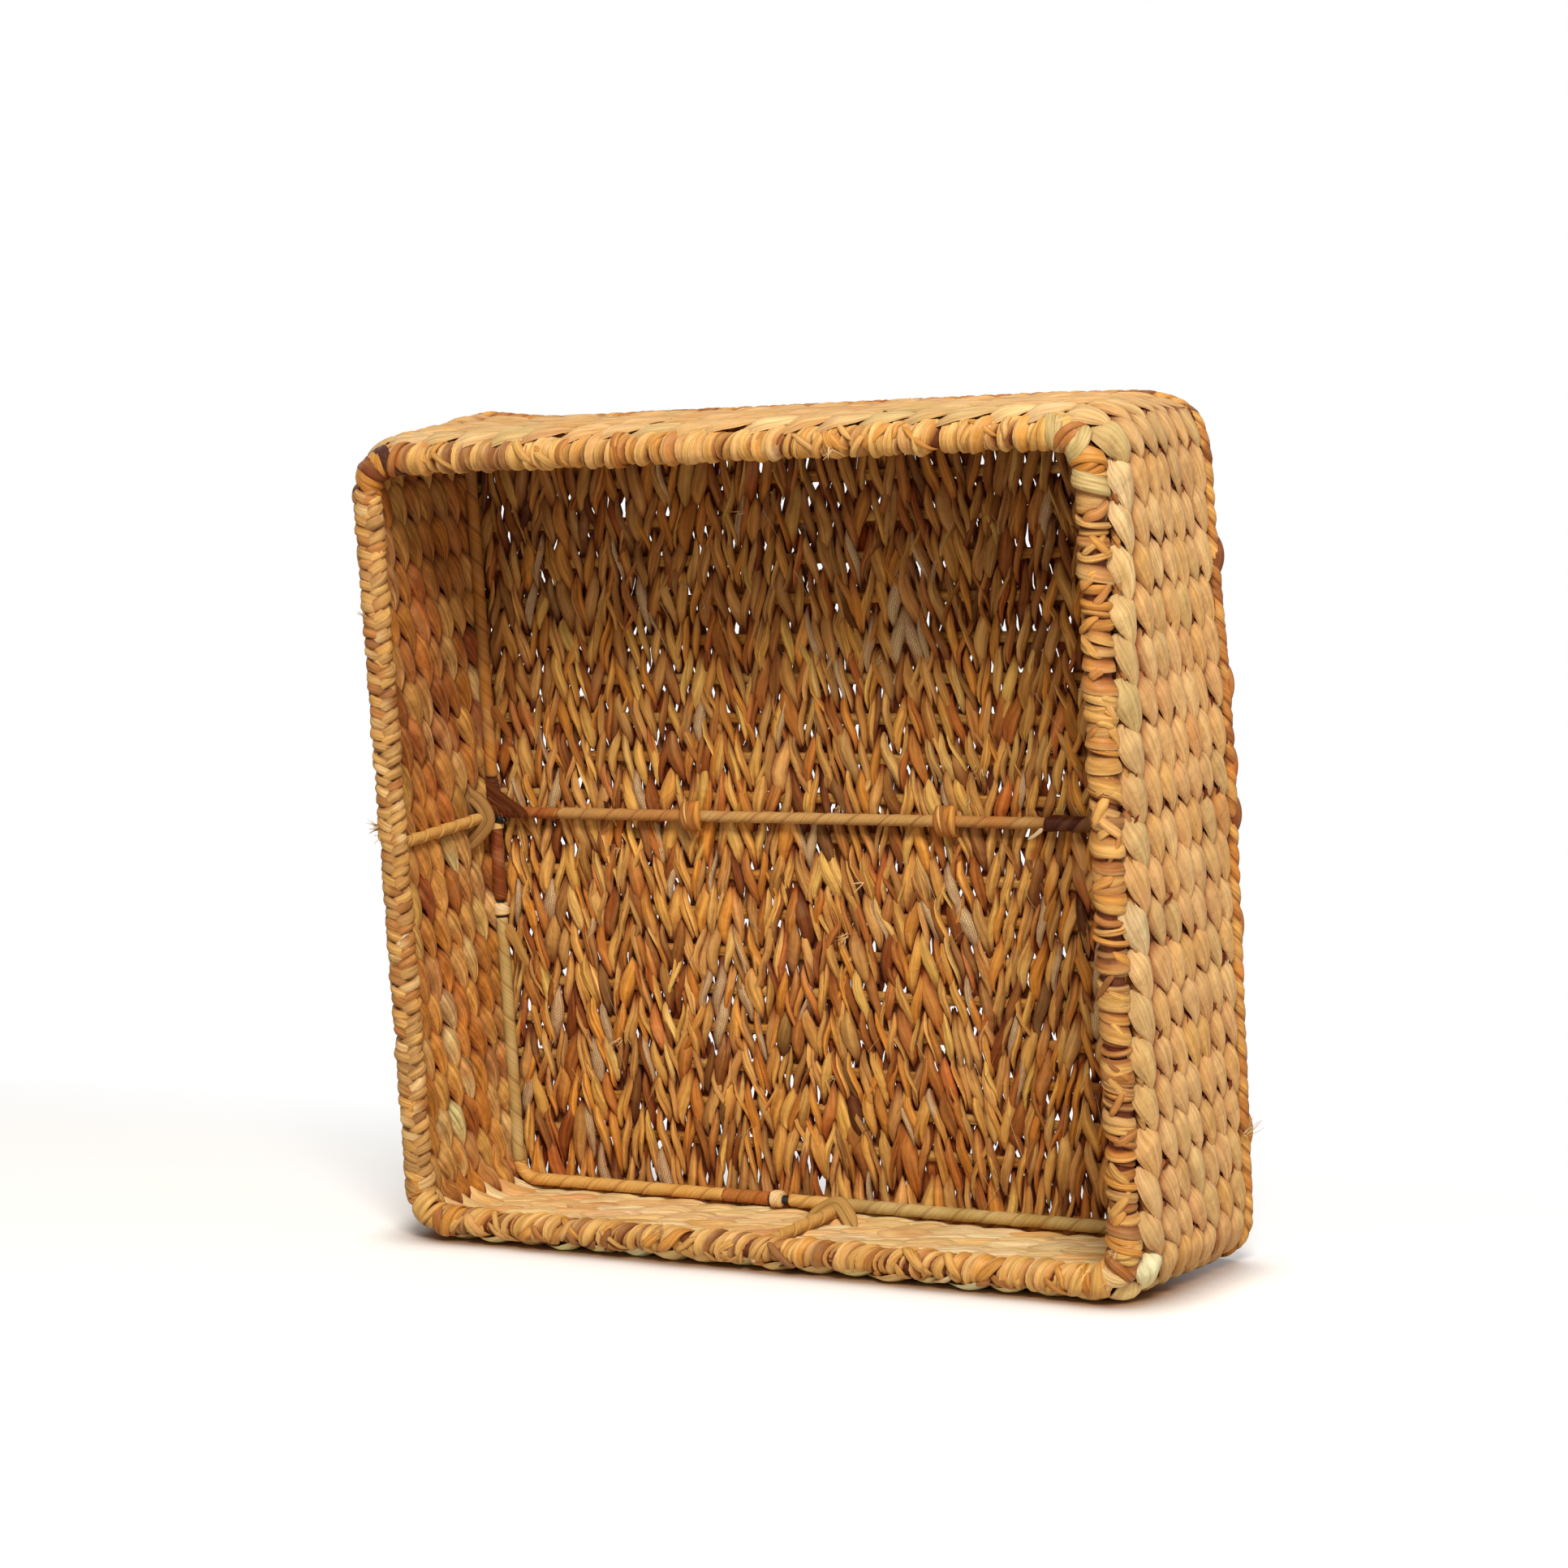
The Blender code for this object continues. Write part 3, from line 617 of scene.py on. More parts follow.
@dataclass(frozen=True)
class LeafFinish:
    """Dry leaf: a strand's own colour with fibres along it, blotches, flecks, a low sheen and painted shade where
    strands dive, along their edges and in their creases.

    Args:
        name: the material's name.
        fibres: streaks round one strand.
        contrast: how much the streaks darken.
        roughness: how dull the leaf is.
        relief: the depth of the fibres in metres.
        painted_shade: how far painted shade deepens the colour where a strand dives, along its edges and in its
            creases.
        fleck: how strong the dark flecks are.
        stain: how strong the red-brown bands along the leaf are.
        gloss: how much light the leaf mirrors.
    """

    name: str
    fibres: float = 26.0
    contrast: float = 0.42
    roughness: float = 0.58
    relief: float = 0.0007
    painted_shade: float = 0.62
    fleck: float = 0.4
    stain: float = 0.35
    gloss: float = 0.16

    def make(self) -> bpy.types.Material:
        """Wire the material.

        Returns:
            The material.
        """
        nodes = Nodes(self.name)
        strand = nodes.add("UVMap", uv_map="strand").outputs["UV"]
        place = nodes.add("TexCoord").outputs["Object"]
        leaf = nodes.add("Attribute", attribute_name="leaf_colour").outputs["Color"]
        # Painted shade stored on each point: where strands dive, along their edges, in their creases and under their
        # neighbours.
        dive = nodes.add("Attribute", attribute_name="painted_shade").outputs["Fac"]
        pith = nodes.add("Attribute", attribute_name="pith").outputs["Fac"]
        stretched = nodes.add("Mapping", {"Vector": strand, "Scale": (7.0, self.fibres, 1.0)}).outputs[0]
        broad = nodes.add("Mapping", {"Vector": strand, "Scale": (4.0, self.fibres / 5, 1.0)}).outputs[0]
        fibre = nodes.noise(stretched, 1.0, 5.0)
        band = nodes.noise(broad, 1.0, 2.0)
        blotch = nodes.noise(place, 70.0, 3.0)
        fleck = nodes.ramp(nodes.noise(stretched, 2.3, 2.0), 0.64, 0.74)
        low = 1.0 - self.contrast
        shade = nodes.mix(nodes.ramp(fibre, 0.3, 0.68), (low, low * 0.86, low * 0.68, 1.0), (1.09, 1.08, 1.06, 1.0))
        colour = nodes.mix(1.0, leaf, shade, "MULTIPLY")
        colour = nodes.mix(nodes.ramp(band, 0.5, 0.75, 0.0, self.stain), colour, (0.62, 0.28, 0.08, 1.0))
        colour = nodes.mix(nodes.ramp(blotch, 0.55, 0.8, 0.0, 0.22), colour, (0.8, 0.52, 0.22, 1.0))
        colour = nodes.mix(nodes.sum(fleck, self.fleck, "MULTIPLY"), colour, (0.12, 0.04, 0.012, 1.0))
        net = nodes.add("Mapping", {"Vector": strand, "Scale": (50.0, 5.0, 1.0)}).outputs[0]
        cells = nodes.add("TexBrick", {"Vector": net, "Scale": 1.0, "Color1": (0.74, 0.54, 0.30, 1.0)})
        cells.inputs["Color2"].default_value = (0.62, 0.43, 0.22, 1.0)
        cells.inputs["Mortar"].default_value = (0.3, 0.17, 0.07, 1.0)
        cells.inputs["Mortar Size"].default_value = 0.035
        colour = nodes.mix(nodes.sum(pith, 0.85, "MULTIPLY"), colour, cells.outputs["Color"])
        # Painted shade: the stored shade draws the colour towards a dark red-brown copy of itself.
        deep = nodes.mix(1.0, colour, (0.28, 0.06, 0.008, 1.0), "MULTIPLY")
        colour = nodes.mix(nodes.sum(dive, self.painted_shade, "MULTIPLY"), colour, deep)
        nodes.put(nodes.shader.inputs["Base Color"], colour)
        dull = nodes.ramp(fibre, 0.3, 0.7, self.roughness + 0.12, self.roughness - 0.1)
        nodes.put(nodes.shader.inputs["Roughness"], nodes.sum(dull, nodes.sum(dive, 0.4, "MULTIPLY")))
        crumple = nodes.noise(place, 190.0, 2.0)
        height = nodes.sum(fibre, nodes.sum(band, 0.8, "MULTIPLY"))
        height = nodes.sum(height, nodes.sum(crumple, 1.1, "MULTIPLY"))
        bump = nodes.add("Bump", {"Height": height, "Distance": self.relief, "Strength": 0.8})
        nodes.put(nodes.shader.inputs["Normal"], bump.outputs["Normal"])
        nodes.shader.inputs["Specular IOR Level"].default_value = self.gloss
        nodes.shader.inputs["Sheen Weight"].default_value = 0.03
        nodes.shader.inputs["Sheen Roughness"].default_value = 0.4
        return nodes.material


@dataclass(frozen=True)
class SteelFinish:
    """Black paint on the wire frame, worn thin along the wire."""

    name: str = "black_painted_wire"

    def make(self) -> bpy.types.Material:
        """Wire the material."""
        nodes = Nodes(self.name)
        place = nodes.add("TexCoord").outputs["Object"]
        wear = nodes.ramp(nodes.noise(place, 420.0, 4.0), 0.6, 0.72)
        colour = nodes.mix(nodes.sum(wear, 0.6, "MULTIPLY"), (0.012, 0.011, 0.01, 1.0), (0.07, 0.05, 0.04, 1.0))
        nodes.put(nodes.shader.inputs["Base Color"], colour)
        nodes.put(nodes.shader.inputs["Roughness"], nodes.ramp(wear, 0.0, 1.0, 0.35, 0.6))
        bump = nodes.add("Bump", {"Height": nodes.noise(place, 900.0), "Distance": 0.0001, "Strength": 0.5})
        nodes.put(nodes.shader.inputs["Normal"], bump.outputs["Normal"])
        nodes.shader.inputs["Metallic"].default_value = 0.3
        return nodes.material


class Weaver:
    """Gathers swept leaves into one piece of the basket."""

    def __init__(self, name: str, soft: bool = False) -> None:
        """Start an empty piece.

        Args:
            name: the piece's name.
            soft: whether it gives way with the weave.
        """
        self.name = name
        self.soft = soft
        self.runs: list[Array] = []
        self.colours: list[Array] = []
        self.painted_shades: list[Array] = []
        self.piths: list[Array] = []

    def add(
        self,
        rings: Array,
        colour: Array,
        painted_shade: Array | float = 0.0,
        pith: Array | float = 0.0,
        closed: bool = False,
    ) -> None:
        """Add one leaf.

        Args:
            rings: rings of points in the basket's frame.
            colour: one linear colour, one a ring or one a point.
            painted_shade: how much painted shade deepens its colour, for all, one a ring or one a point.
            pith: how much pale pith shows, for all or one a ring.
            closed: whether it runs into its own start.
        """
        count, sides = rings.shape[:2]
        tint = np.asarray(colour, dtype=float)
        tint = np.broadcast_to(tint[:, None] if tint.ndim == 2 else tint, (count, sides, 3))
        layers = [rings, tint]
        for share in (painted_shade, pith):
            share = np.asarray(share, dtype=float)
            layers.append(np.broadcast_to(share[:, None] if share.ndim == 1 else share, (count, sides)))
        layers = [np.concatenate((layer, layer[:, :1]), axis=1) for layer in layers]
        if closed:
            layers = [np.concatenate((layer, layer[:1]), axis=0) for layer in layers]
        self.runs.append(layers[0])
        self.colours.append(layers[1].transpose(1, 0, 2).reshape(-1, 3))
        self.painted_shades.append(layers[2].T.ravel())
        self.piths.append(layers[3].T.ravel())

    def weave(
        self, finish: bpy.types.Material, slot: str, stands_for: Sequence[str] = (), seed: int = 1
    ) -> bpy.types.Object:
        """Make the piece: a grid for each leaf, rolled round its line and closed.

        Args:
            finish: its material.
            slot: the record's material slot; not used.
            stands_for: the solids that it replaces.
            seed: where its leaves' grain starts.

        Returns:
            The finished object.
        """
        mesh = self.grids()
        rows = np.concatenate([rings.transpose(1, 0, 2).reshape(-1, 3) for rings in self.runs])
        rows = STANCE.seat(SAG.settle(rows) if self.soft else rows)
        rows[:, 2] = np.maximum(rows[:, 2], 0.0001)
        mesh.vertices.foreach_set("co", rows.astype(np.float32).ravel())
        self.mark(mesh, "leaf_colour", np.hstack((np.concatenate(self.colours), np.ones((len(rows), 1)))))
        self.mark(mesh, "painted_shade", np.concatenate(self.painted_shades))
        self.mark(mesh, "pith", np.concatenate(self.piths))
        self.stretch_grain(mesh, seed)
        bm = bmesh.new()
        bm.from_mesh(mesh)
        bmesh.ops.remove_doubles(bm, verts=bm.verts, dist=0.000002)
        bmesh.ops.recalc_face_normals(bm, faces=bm.faces)
        for face in bm.faces:
            face.smooth = True
        bm.to_mesh(mesh)
        bm.free()
        mesh.set_sharp_from_angle(angle=math.radians(48))
        mesh.materials.append(finish)
        piece = bpy.data.objects.new(self.name, mesh)
        bpy.context.scene.collection.objects.link(piece)
        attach(piece, "root")
        if stands_for:
            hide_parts(*stands_for)
        log.info("%s: %d leaves, %d faces", self.name, len(self.runs), len(mesh.polygons))
        return piece

    def grids(self) -> bpy.types.Mesh:
        """A flat grid for each leaf; leaves with the same count of rings are copied from one grid.

        Returns:
            The mesh, its grids in the order of the leaves.
        """
        mesh = bpy.data.meshes.new(self.name)
        whole = bmesh.new()
        for (rings, points), group in groupby(self.runs, key=lambda run: run.shape[:2]):
            wanted = len(list(group))
            strip = bmesh.new()
            strip.loops.layers.uv.new("strand")
            bmesh.ops.create_grid(strip, x_segments=rings - 1, y_segments=points - 1, size=1.0, calc_uvs=True)
            parts = (len(strip.verts), len(strip.edges), len(strip.faces))
            made = 1
            while made < wanted:
                more = min(made, wanted - made)
                layers = (strip.verts, strip.edges, strip.faces)
                geom = [item for layer, size in zip(layers, parts) for item in layer[: more * size]]
                bmesh.ops.duplicate(strip, geom=geom)
                made += more
            strip.to_mesh(mesh)
            strip.free()
            whole.from_mesh(mesh)
        whole.to_mesh(mesh)
        whole.free()
        return mesh

    def mark(self, mesh: bpy.types.Mesh, name: str, values: Array) -> None:
        """Store a number or colour at every point."""
        kind, key = ("FLOAT_COLOR", "color") if values.ndim > 1 else ("FLOAT", "value")
        layer = mesh.attributes.new(name, kind, "POINT")
        layer.data.foreach_set(key, values.astype(np.float32).ravel())

    def stretch_grain(self, mesh: bpy.types.Mesh, seed: int) -> None:
        """Scale the grain coordinates to each leaf's length, in tenths of a metre, from a chance start."""
        rng = np.random.default_rng(seed)
        lengths, counts = [], []
        for rings in self.runs:
            middle = rings[:, :-1].mean(axis=1)
            lengths.append(np.linalg.norm(np.diff(middle, axis=0), axis=1).sum() * 10)
            counts.append((rings.shape[0] - 1) * (rings.shape[1] - 1) * 4)
        grain = np.empty(len(mesh.loops) * 2, dtype=np.float32)
        layer = mesh.uv_layers["strand"].uv
        layer.foreach_get("vector", grain)
        pairs = grain.reshape(-1, 2)
        pairs[:, 0] *= np.repeat(lengths, counts)
        pairs[:, 0] += np.repeat(rng.uniform(0, 40, len(lengths)), counts)
        pairs[:, 1] += np.repeat(rng.integers(0, 40, len(lengths)), counts)
        layer.foreach_set("vector", pairs.ravel())


@dataclass(frozen=True)
class Lobe:
    """One lobe of a twined leaf, from where it comes up past its stake to its tip.

    Args:
        behind: how far before its stake it comes up, in stakes.
        ahead: how far past its stake its tip lies.
        half_width: half its greatest breadth.
        half_thick: half its thickness.
        rise: how far its middle stands off the stakes.
        cup: how far its edges bend back.
        slide: how far it shifts across the row on either side of its stake.
        blunt: how bluntly it starts.
        sharp: how sharply its tip closes.
    """

    behind: float
    ahead: float
    half_width: float
    half_thick: float
    rise: float
    cup: float
    slide: float
    blunt: float
    sharp: float

    def profile(self, count: int) -> tuple[Array, Array, Array, Array]:
        """Its shape along its length.

        Args:
            count: how many rings.

        Returns:
            The way along in stakes, the half breadth, the half thickness and the rise at each ring.
        """
        share = 0.5 - 0.5 * np.cos(np.linspace(0.0, math.pi, count))
        along = (self.behind + self.ahead) * share - self.behind
        breadth = spindle(share, self.blunt, self.sharp)
        breadth[[0, -1]] = 0.0
        thick = self.half_thick * np.sqrt(breadth)
        rise = 0.0003 + self.rise * ease(share / 0.38) * (1.0 - 0.22 * ease((share - 0.75) / 0.25))
        return along, self.half_width * breadth, thick, rise


@dataclass
class WovenWalls:
    """Seven rows of twined leaf round the walls, each a pair of strands twisted about the stakes."""

    rows: int = 7
    stakes: int = 18
    corner_lobes: int = 3
    stake_pitch: float = 0.0176
    first_row: float = 0.0069
    row_pitch: float = 0.0119714
    half_at_rim: float = 0.17275
    flare: float = 0.0902299
    corner: float = 0.0175
    rings: int = 15
    sides: int = 14
    outside: Lobe = Lobe(0.64, 0.74, 0.0071, 0.0014, 0.0032, 0.0018, 0.0029, 0.34, 0.80)
    inside: Lobe = Lobe(0.68, 0.88, 0.0068, 0.0015, 0.0045, 0.0028, 0.0034, 0.36, 0.95)
    floor: Lobe = Lobe(0.75, 1.05, 0.0074, 0.0011, 0.0028, 0.0016, 0.0034, 0.36, 0.85)

    def half(self, depth: float) -> float:
        """Half the distance between opposite walls at a depth."""
        return self.half_at_rim + self.flare * depth

    def loop(self, row: int) -> SquareLoop:
        """The middle line of a row."""
        depth = self.first_row + (row + 0.5) * self.row_pitch - 0.00015
        return SquareLoop(self.half(depth), self.corner, depth)

    @property
    def lobes(self) -> int:
        """Lobes in one round."""
        return 4 * (self.stakes - 1 + self.corner_lobes)

    def places(self, loop: SquareLoop, phase: Array) -> Array:
        """Where along the loop each count of lobes falls, so that whole counts lie on stakes."""
        stakes = (np.arange(self.stakes) - (self.stakes - 1) / 2) * self.stake_pitch + loop.straight / 2
        per_side = self.stakes - 1 + self.corner_lobes
        marks = np.concatenate([side * loop.quarter + stakes for side in range(4)] + [4 * loop.quarter + stakes[:1]])
        counts = np.concatenate([side * per_side + np.arange(self.stakes) for side in range(4)] + [[4 * per_side]])
        return np.interp(phase % self.lobes, counts, marks)

    def low(self, number: int) -> bool:
        """Whether a stake belongs to the wall that the basket stands on."""
        return 38 <= number <= 58

    def leaf(self, row: int, number: int, face: float) -> Mixture:
        """The bundle that a lobe's leaf comes from."""
        if face > 0:
            return FIRST_ROW_LEAF if row == 0 else OUTER_LEAF
        # Inside, the wall that the basket stands on and the lower half of the left wall take brighter leaf: partly the
        # leaf's own tone, partly painted light.
        if self.low(number):
            return FLOOR_LEAF
        return LOW_SIDE_LEAF if 58 < number < 69 else SIDE_LEAF

    def lobe(self, piece: Weaver, row: int, number: int, face: float, rng: np.random.Generator) -> None:
        """One lobe, its tip over the start of the next, with painted shade where it lies low, under the tip before it,
        along its edges and in its creases.

        Args:
            piece: the piece that takes it.
            row: the row, from the rim.
            number: the stake that it covers, clockwise from the top left.
            face: 1 outside the stakes, -1 inside.
            rng: the seeded source of chance.
        """
        loop = self.loop(row)
        shape = self.outside if face > 0 else self.floor if self.low(number) else self.inside
        along, width, thick, rise = shape.profile(self.rings)
        hang = -1.0 if number >= 60 else 1.0
        vary = rng.uniform(-1.0, 1.0, 6)
        first = 1.0 if row == 0 and face > 0 else 0.0
        reach = 1.0 + 0.1 * vary[0] + 0.1 * first * np.sign(along)
        away = hang * along * reach + 0.07 * vary[1]
        slide = face * shape.slide * np.sin(math.pi * np.clip(away, -0.5, 0.5)) * (1.0 + 0.12 * vary[2])
        slide = slide + 0.0011 * vary[3] + 0.0022 * rng.uniform(-1, 1) * along**2 - first * self.shift(number)
        points, out, _ = loop.at(self.places(loop, number + away))
        points = points + out * (self.flare * slide)[:, None]
        points[:, 1] += slide
        width = width * (1.0 + 0.18 * vary[4] + 0.24 * first)
        folds = creased(rng, self.rings, self.sides, 5, 0.75)
        middle = points + out * (face * rise * (1.0 + 0.14 * vary[5]))[:, None]
        lean = face * hang * 0.13 + (0.10 if face > 0 else 0.17) * rng.uniform(-1, 1)
        cup = shape.cup * width / shape.half_width
        rings = sweep(middle, out * face, width, thick, self.sides, lean, folds, cup=cup)
        # Painted shade: the colour deepens where the lobe lies low towards the stakes.
        stand = face * np.einsum("rsk,rk->rs", rings - points[:, None], out)
        dark = np.clip((shape.rise + 0.0005 - stand) / 0.0028, 0.0, 1.0) ** 1.15
        bundle = self.leaf(row, number, face)
        # Painted light: the first row's lobes on the wall that the basket stands on are made half again as bright, and
        # the first row outside takes less painted shade.
        leaf, other = np.minimum(bundle.draw(rng, 2) * (1.5 if first and self.low(number) else 1.0), 0.95)
        dark = dark * (1.0 - 0.7 * first)
        share = (np.linspace(0.0, 1.0, self.rings) * rng.choice((-1, 1)) % 1.0)[:, None]
        colour = leaf * (1.0 - 0.5 * share) + other * 0.5 * share
        tints = streaked(colour, np.tile(other, (self.rings, 1)), self.sides, 2.0 * drift(rng, self.rings, 3) + 1.2)
        # Painted shade along the edges, under the tip of the lobe before and in the creases; less of it outside and on
        # the wall that the basket stands on.
        pale = face > 0 or self.low(number)
        edge = painted_edge_shade(np.zeros(self.rings), self.sides, 0.25 if pale else 0.8)
        covered_shade = np.clip(1.0 - (along + shape.behind) / 0.42, 0.0, 1.0)[:, None]
        dark = np.maximum(dark, (0.3 if pale else 0.8) * covered_shade)
        piece.add(rings, tints, np.maximum(np.maximum(dark, edge), (0.3 if pale else 0.6) * (1.0 - folds)))

    def shift(self, number: int) -> float:
        """How far the first row's lobes lie over the rim: most above and below, least on the left."""
        return 0.0012 if number >= 58 else 0.0064 if number < 19 or number > 38 else 0.0030

    def lining(self, row: int, piece: Weaver) -> None:
        """Brown leaf with painted shade, which shows between the lobes of a row."""
        loop = self.loop(row)
        distance = np.arange(320) / 320 * 4 * loop.quarter
        points, out, _ = loop.at(distance)
        rings = sweep(points, out, 0.0061, 0.0007, 8, closed=True)
        piece.add(rings, Leaf.BROWN.linear(), 0.7, closed=True)

    def build(self, outside: bpy.types.Material, inside: bpy.types.Material) -> None:
        """Weave all the rows.

        Args:
            outside: the finish of the leaf that shows outside.
            inside: the finish of the leaf that shows inside.
        """
        laid = Weaver("wall_rows_laid_pale", True)
        for row in range(self.rows):
            rng = np.random.default_rng(100 + row)
            number = str(row + 1)
            for face, word, finish, slot in (
                (1.0, "outer", outside, "honey_leaf"),
                (-1.0, "inner", inside, "brown_leaf"),
            ):
                piece = Weaver("wall_row_" + number + "_" + word, True)
                if face > 0:
                    self.lining(row, piece)
                for lobe in range(self.lobes):
                    self.lobe(laid if face < 0 and self.low(lobe) else piece, row, lobe, face, rng)
                piece.weave(finish, slot, ("weft_" + word + "_" + number,), 200 + row)
        laid.weave(outside, "straw_leaf", (), 220)


@dataclass
class WovenBase:
    """Columns of twined leaf across the warps, with a lobe on each face at every warp."""

    columns: int = 54
    warps: int = 18
    pitch: float = 0.00662
    warp_pitch: float = 0.0176
    warp_depth: float = 0.0949
    end_warp: float = 0.1739
    end_reach: float = 0.1772
    rings: int = 11
    sides: int = 8
    half_length: float = 0.79
    rise: float = 0.0029
    slide: float = 0.0019
    half_width: float = 0.0030
    half_thick: float = 0.0014
    pieces: int = 5

    def heights(self, phase: Array) -> Array:
        """Heights up the base for counts of warps."""
        marks = (np.arange(self.warps) - (self.warps - 1) / 2) * self.warp_pitch
        ends = (self.end_reach + 0.002, self.end_reach, self.end_warp)
        marks = np.concatenate((np.negative(ends), marks, ends[::-1]))
        counts = np.concatenate(((-2.0, -1.45, -1.0), np.arange(self.warps), np.array((0.0, 0.45, 1.0)) + self.warps))
        return np.interp(phase, counts, marks)

    def leaf(
        self, piece: Weaver, x: float, number: int, face: float, hand: float, size: float, aside: float, rng: np.random.Generator
    ) -> None:
        """One leaf of a lobe, creased and a little twisted, with painted shade and, near the upper wall, painted
        shadow.

        Args:
            piece: the piece that takes it.
            x: the column's place across the base.
            number: the warp that it covers.
            face: 1 on the side of the mouth, -1 behind.
            hand: which way the column twists.
            size: its breadth as a share of the lobe's.
            aside: how far it lies to one side.
            rng: the seeded source of chance.
        """
        vary = rng.uniform(-1.0, 1.0, 8)
        share = 0.5 - 0.5 * np.cos(np.linspace(0.0, math.pi, self.rings))
        along = 2 * self.half_length * (1.0 + 0.18 * vary[0]) * (share - 0.5)
        slide = face * hand * self.slide * (1.0 + 0.3 * vary[1]) * np.sin(math.pi * np.clip(along, -0.5, 0.5))
        rise = self.rise * np.cos(
            math.pi / 2 * along / (self.half_length * 1.12)
        ) + 0.0006 * rng.choice((-1, 1)) * np.sin(math.pi * along)
        rise = np.maximum(rise * (1.0 + 0.12 * vary[2]), 0.0002)
        z = self.heights(number + along + 0.12 * vary[3])
        lane = x + slide + aside + 0.0007 * vary[4] + 0.0008 * drift(rng, self.rings, 4)
        points = np.stack((lane, self.warp_depth - face * rise, z), axis=1)
        breadth = spindle(share, 0.55 + 0.4 * abs(vary[5]), rng.uniform(0.5, 0.9))
        breadth[[0, -1]] = 0.0
        width = self.half_width * size * breadth * (1.0 + 0.32 * vary[6])
        thick = self.half_thick * np.sqrt(breadth)
        tilt = 0.6 * vary[7] + rng.uniform(-1.2, 1.2) * (share - 0.5)
        faces = unit(face * MOUTH + np.outer(tilt, (1.0, 0.0, 0.0)))
        folds = creased(rng, self.rings, self.sides, 3, 0.9)
        rings = sweep(points, faces, width, thick, self.sides, folds=folds, cup=0.0004 * breadth)
        # Painted shade: the colour deepens where the leaf lies low towards the warps.
        stand = face * (self.warp_depth - rings[..., 1])
        dark = np.clip((0.0037 - stand) / 0.0026, 0.0, 1.0) ** 1.3
        leaf, other = np.minimum(1.28 * BASE_LEAF.draw(rng, 2) ** 1.13, 0.95)
        colour = leaf * (1.0 - 0.4 * share[:, None]) + other * 0.4 * share[:, None]
        # Painted shadow: on the side of the mouth the rows nearest the upper wall are darkened, where that wall shades
        # them.
        shade = 0.34 * float(ease(np.array((number - 12.5) / 4.0))) if face > 0 else 0.0
        colour = colour * np.array((1.0 - shade, 1.0 - 1.15 * shade, 1.0 - 1.3 * shade))
        # Painted shade along the edges and in the creases.
        edge = np.maximum(painted_edge_shade(np.zeros(self.rings), self.sides, 0.75), 0.6 * (1.0 - folds))
        piece.add(rings, colour, np.maximum(dark, edge), float(rng.uniform() < 0.05))

    def lobe(self, piece: Weaver, x: float, number: int, face: float, hand: float, rng: np.random.Generator) -> None:
        """One lobe of a column: a broad leaf, or two narrow ones side by side."""
        if rng.uniform() < 0.4:
            for aside in (-0.0010, 0.0010):
                self.leaf(piece, x, number, face, hand, 0.62, aside, rng)
        else:
            self.leaf(piece, x, number, face, hand, 1.0, 0.0, rng)

    def build(self, finish: bpy.types.Material) -> None:
        """Weave the base in a few pieces side by side.

        Args:
            finish: the leaf's material.
        """
        rng = np.random.default_rng(31)
        hands = rng.choice((-1.0, 1.0), self.columns)
        share = -(-self.columns // self.pieces)
        for number in range(self.pieces):
            piece = Weaver("base_weave_" + str(number + 1), True)
            for column in range(number * share, min((number + 1) * share, self.columns)):
                x = (column - (self.columns - 1) / 2) * self.pitch
                for warp in range(-1, self.warps + 1):
                    for face in (1.0, -1.0):
                        self.lobe(piece, x, warp, face, hands[column], rng)
                for warp in rng.uniform(0.0, self.warps - 1.0, 6):
                    aside = self.pitch * rng.uniform(-0.6, 0.6)
                    self.leaf(piece, x, warp, 1.0, 1.6 * rng.choice((-1, 1)), rng.uniform(0.3, 0.6), aside, rng)
            solids = ("base_columns_front", "base_columns_back") if number == 0 else ()
            piece.weave(finish, "honey_leaf", solids, 300 + number)


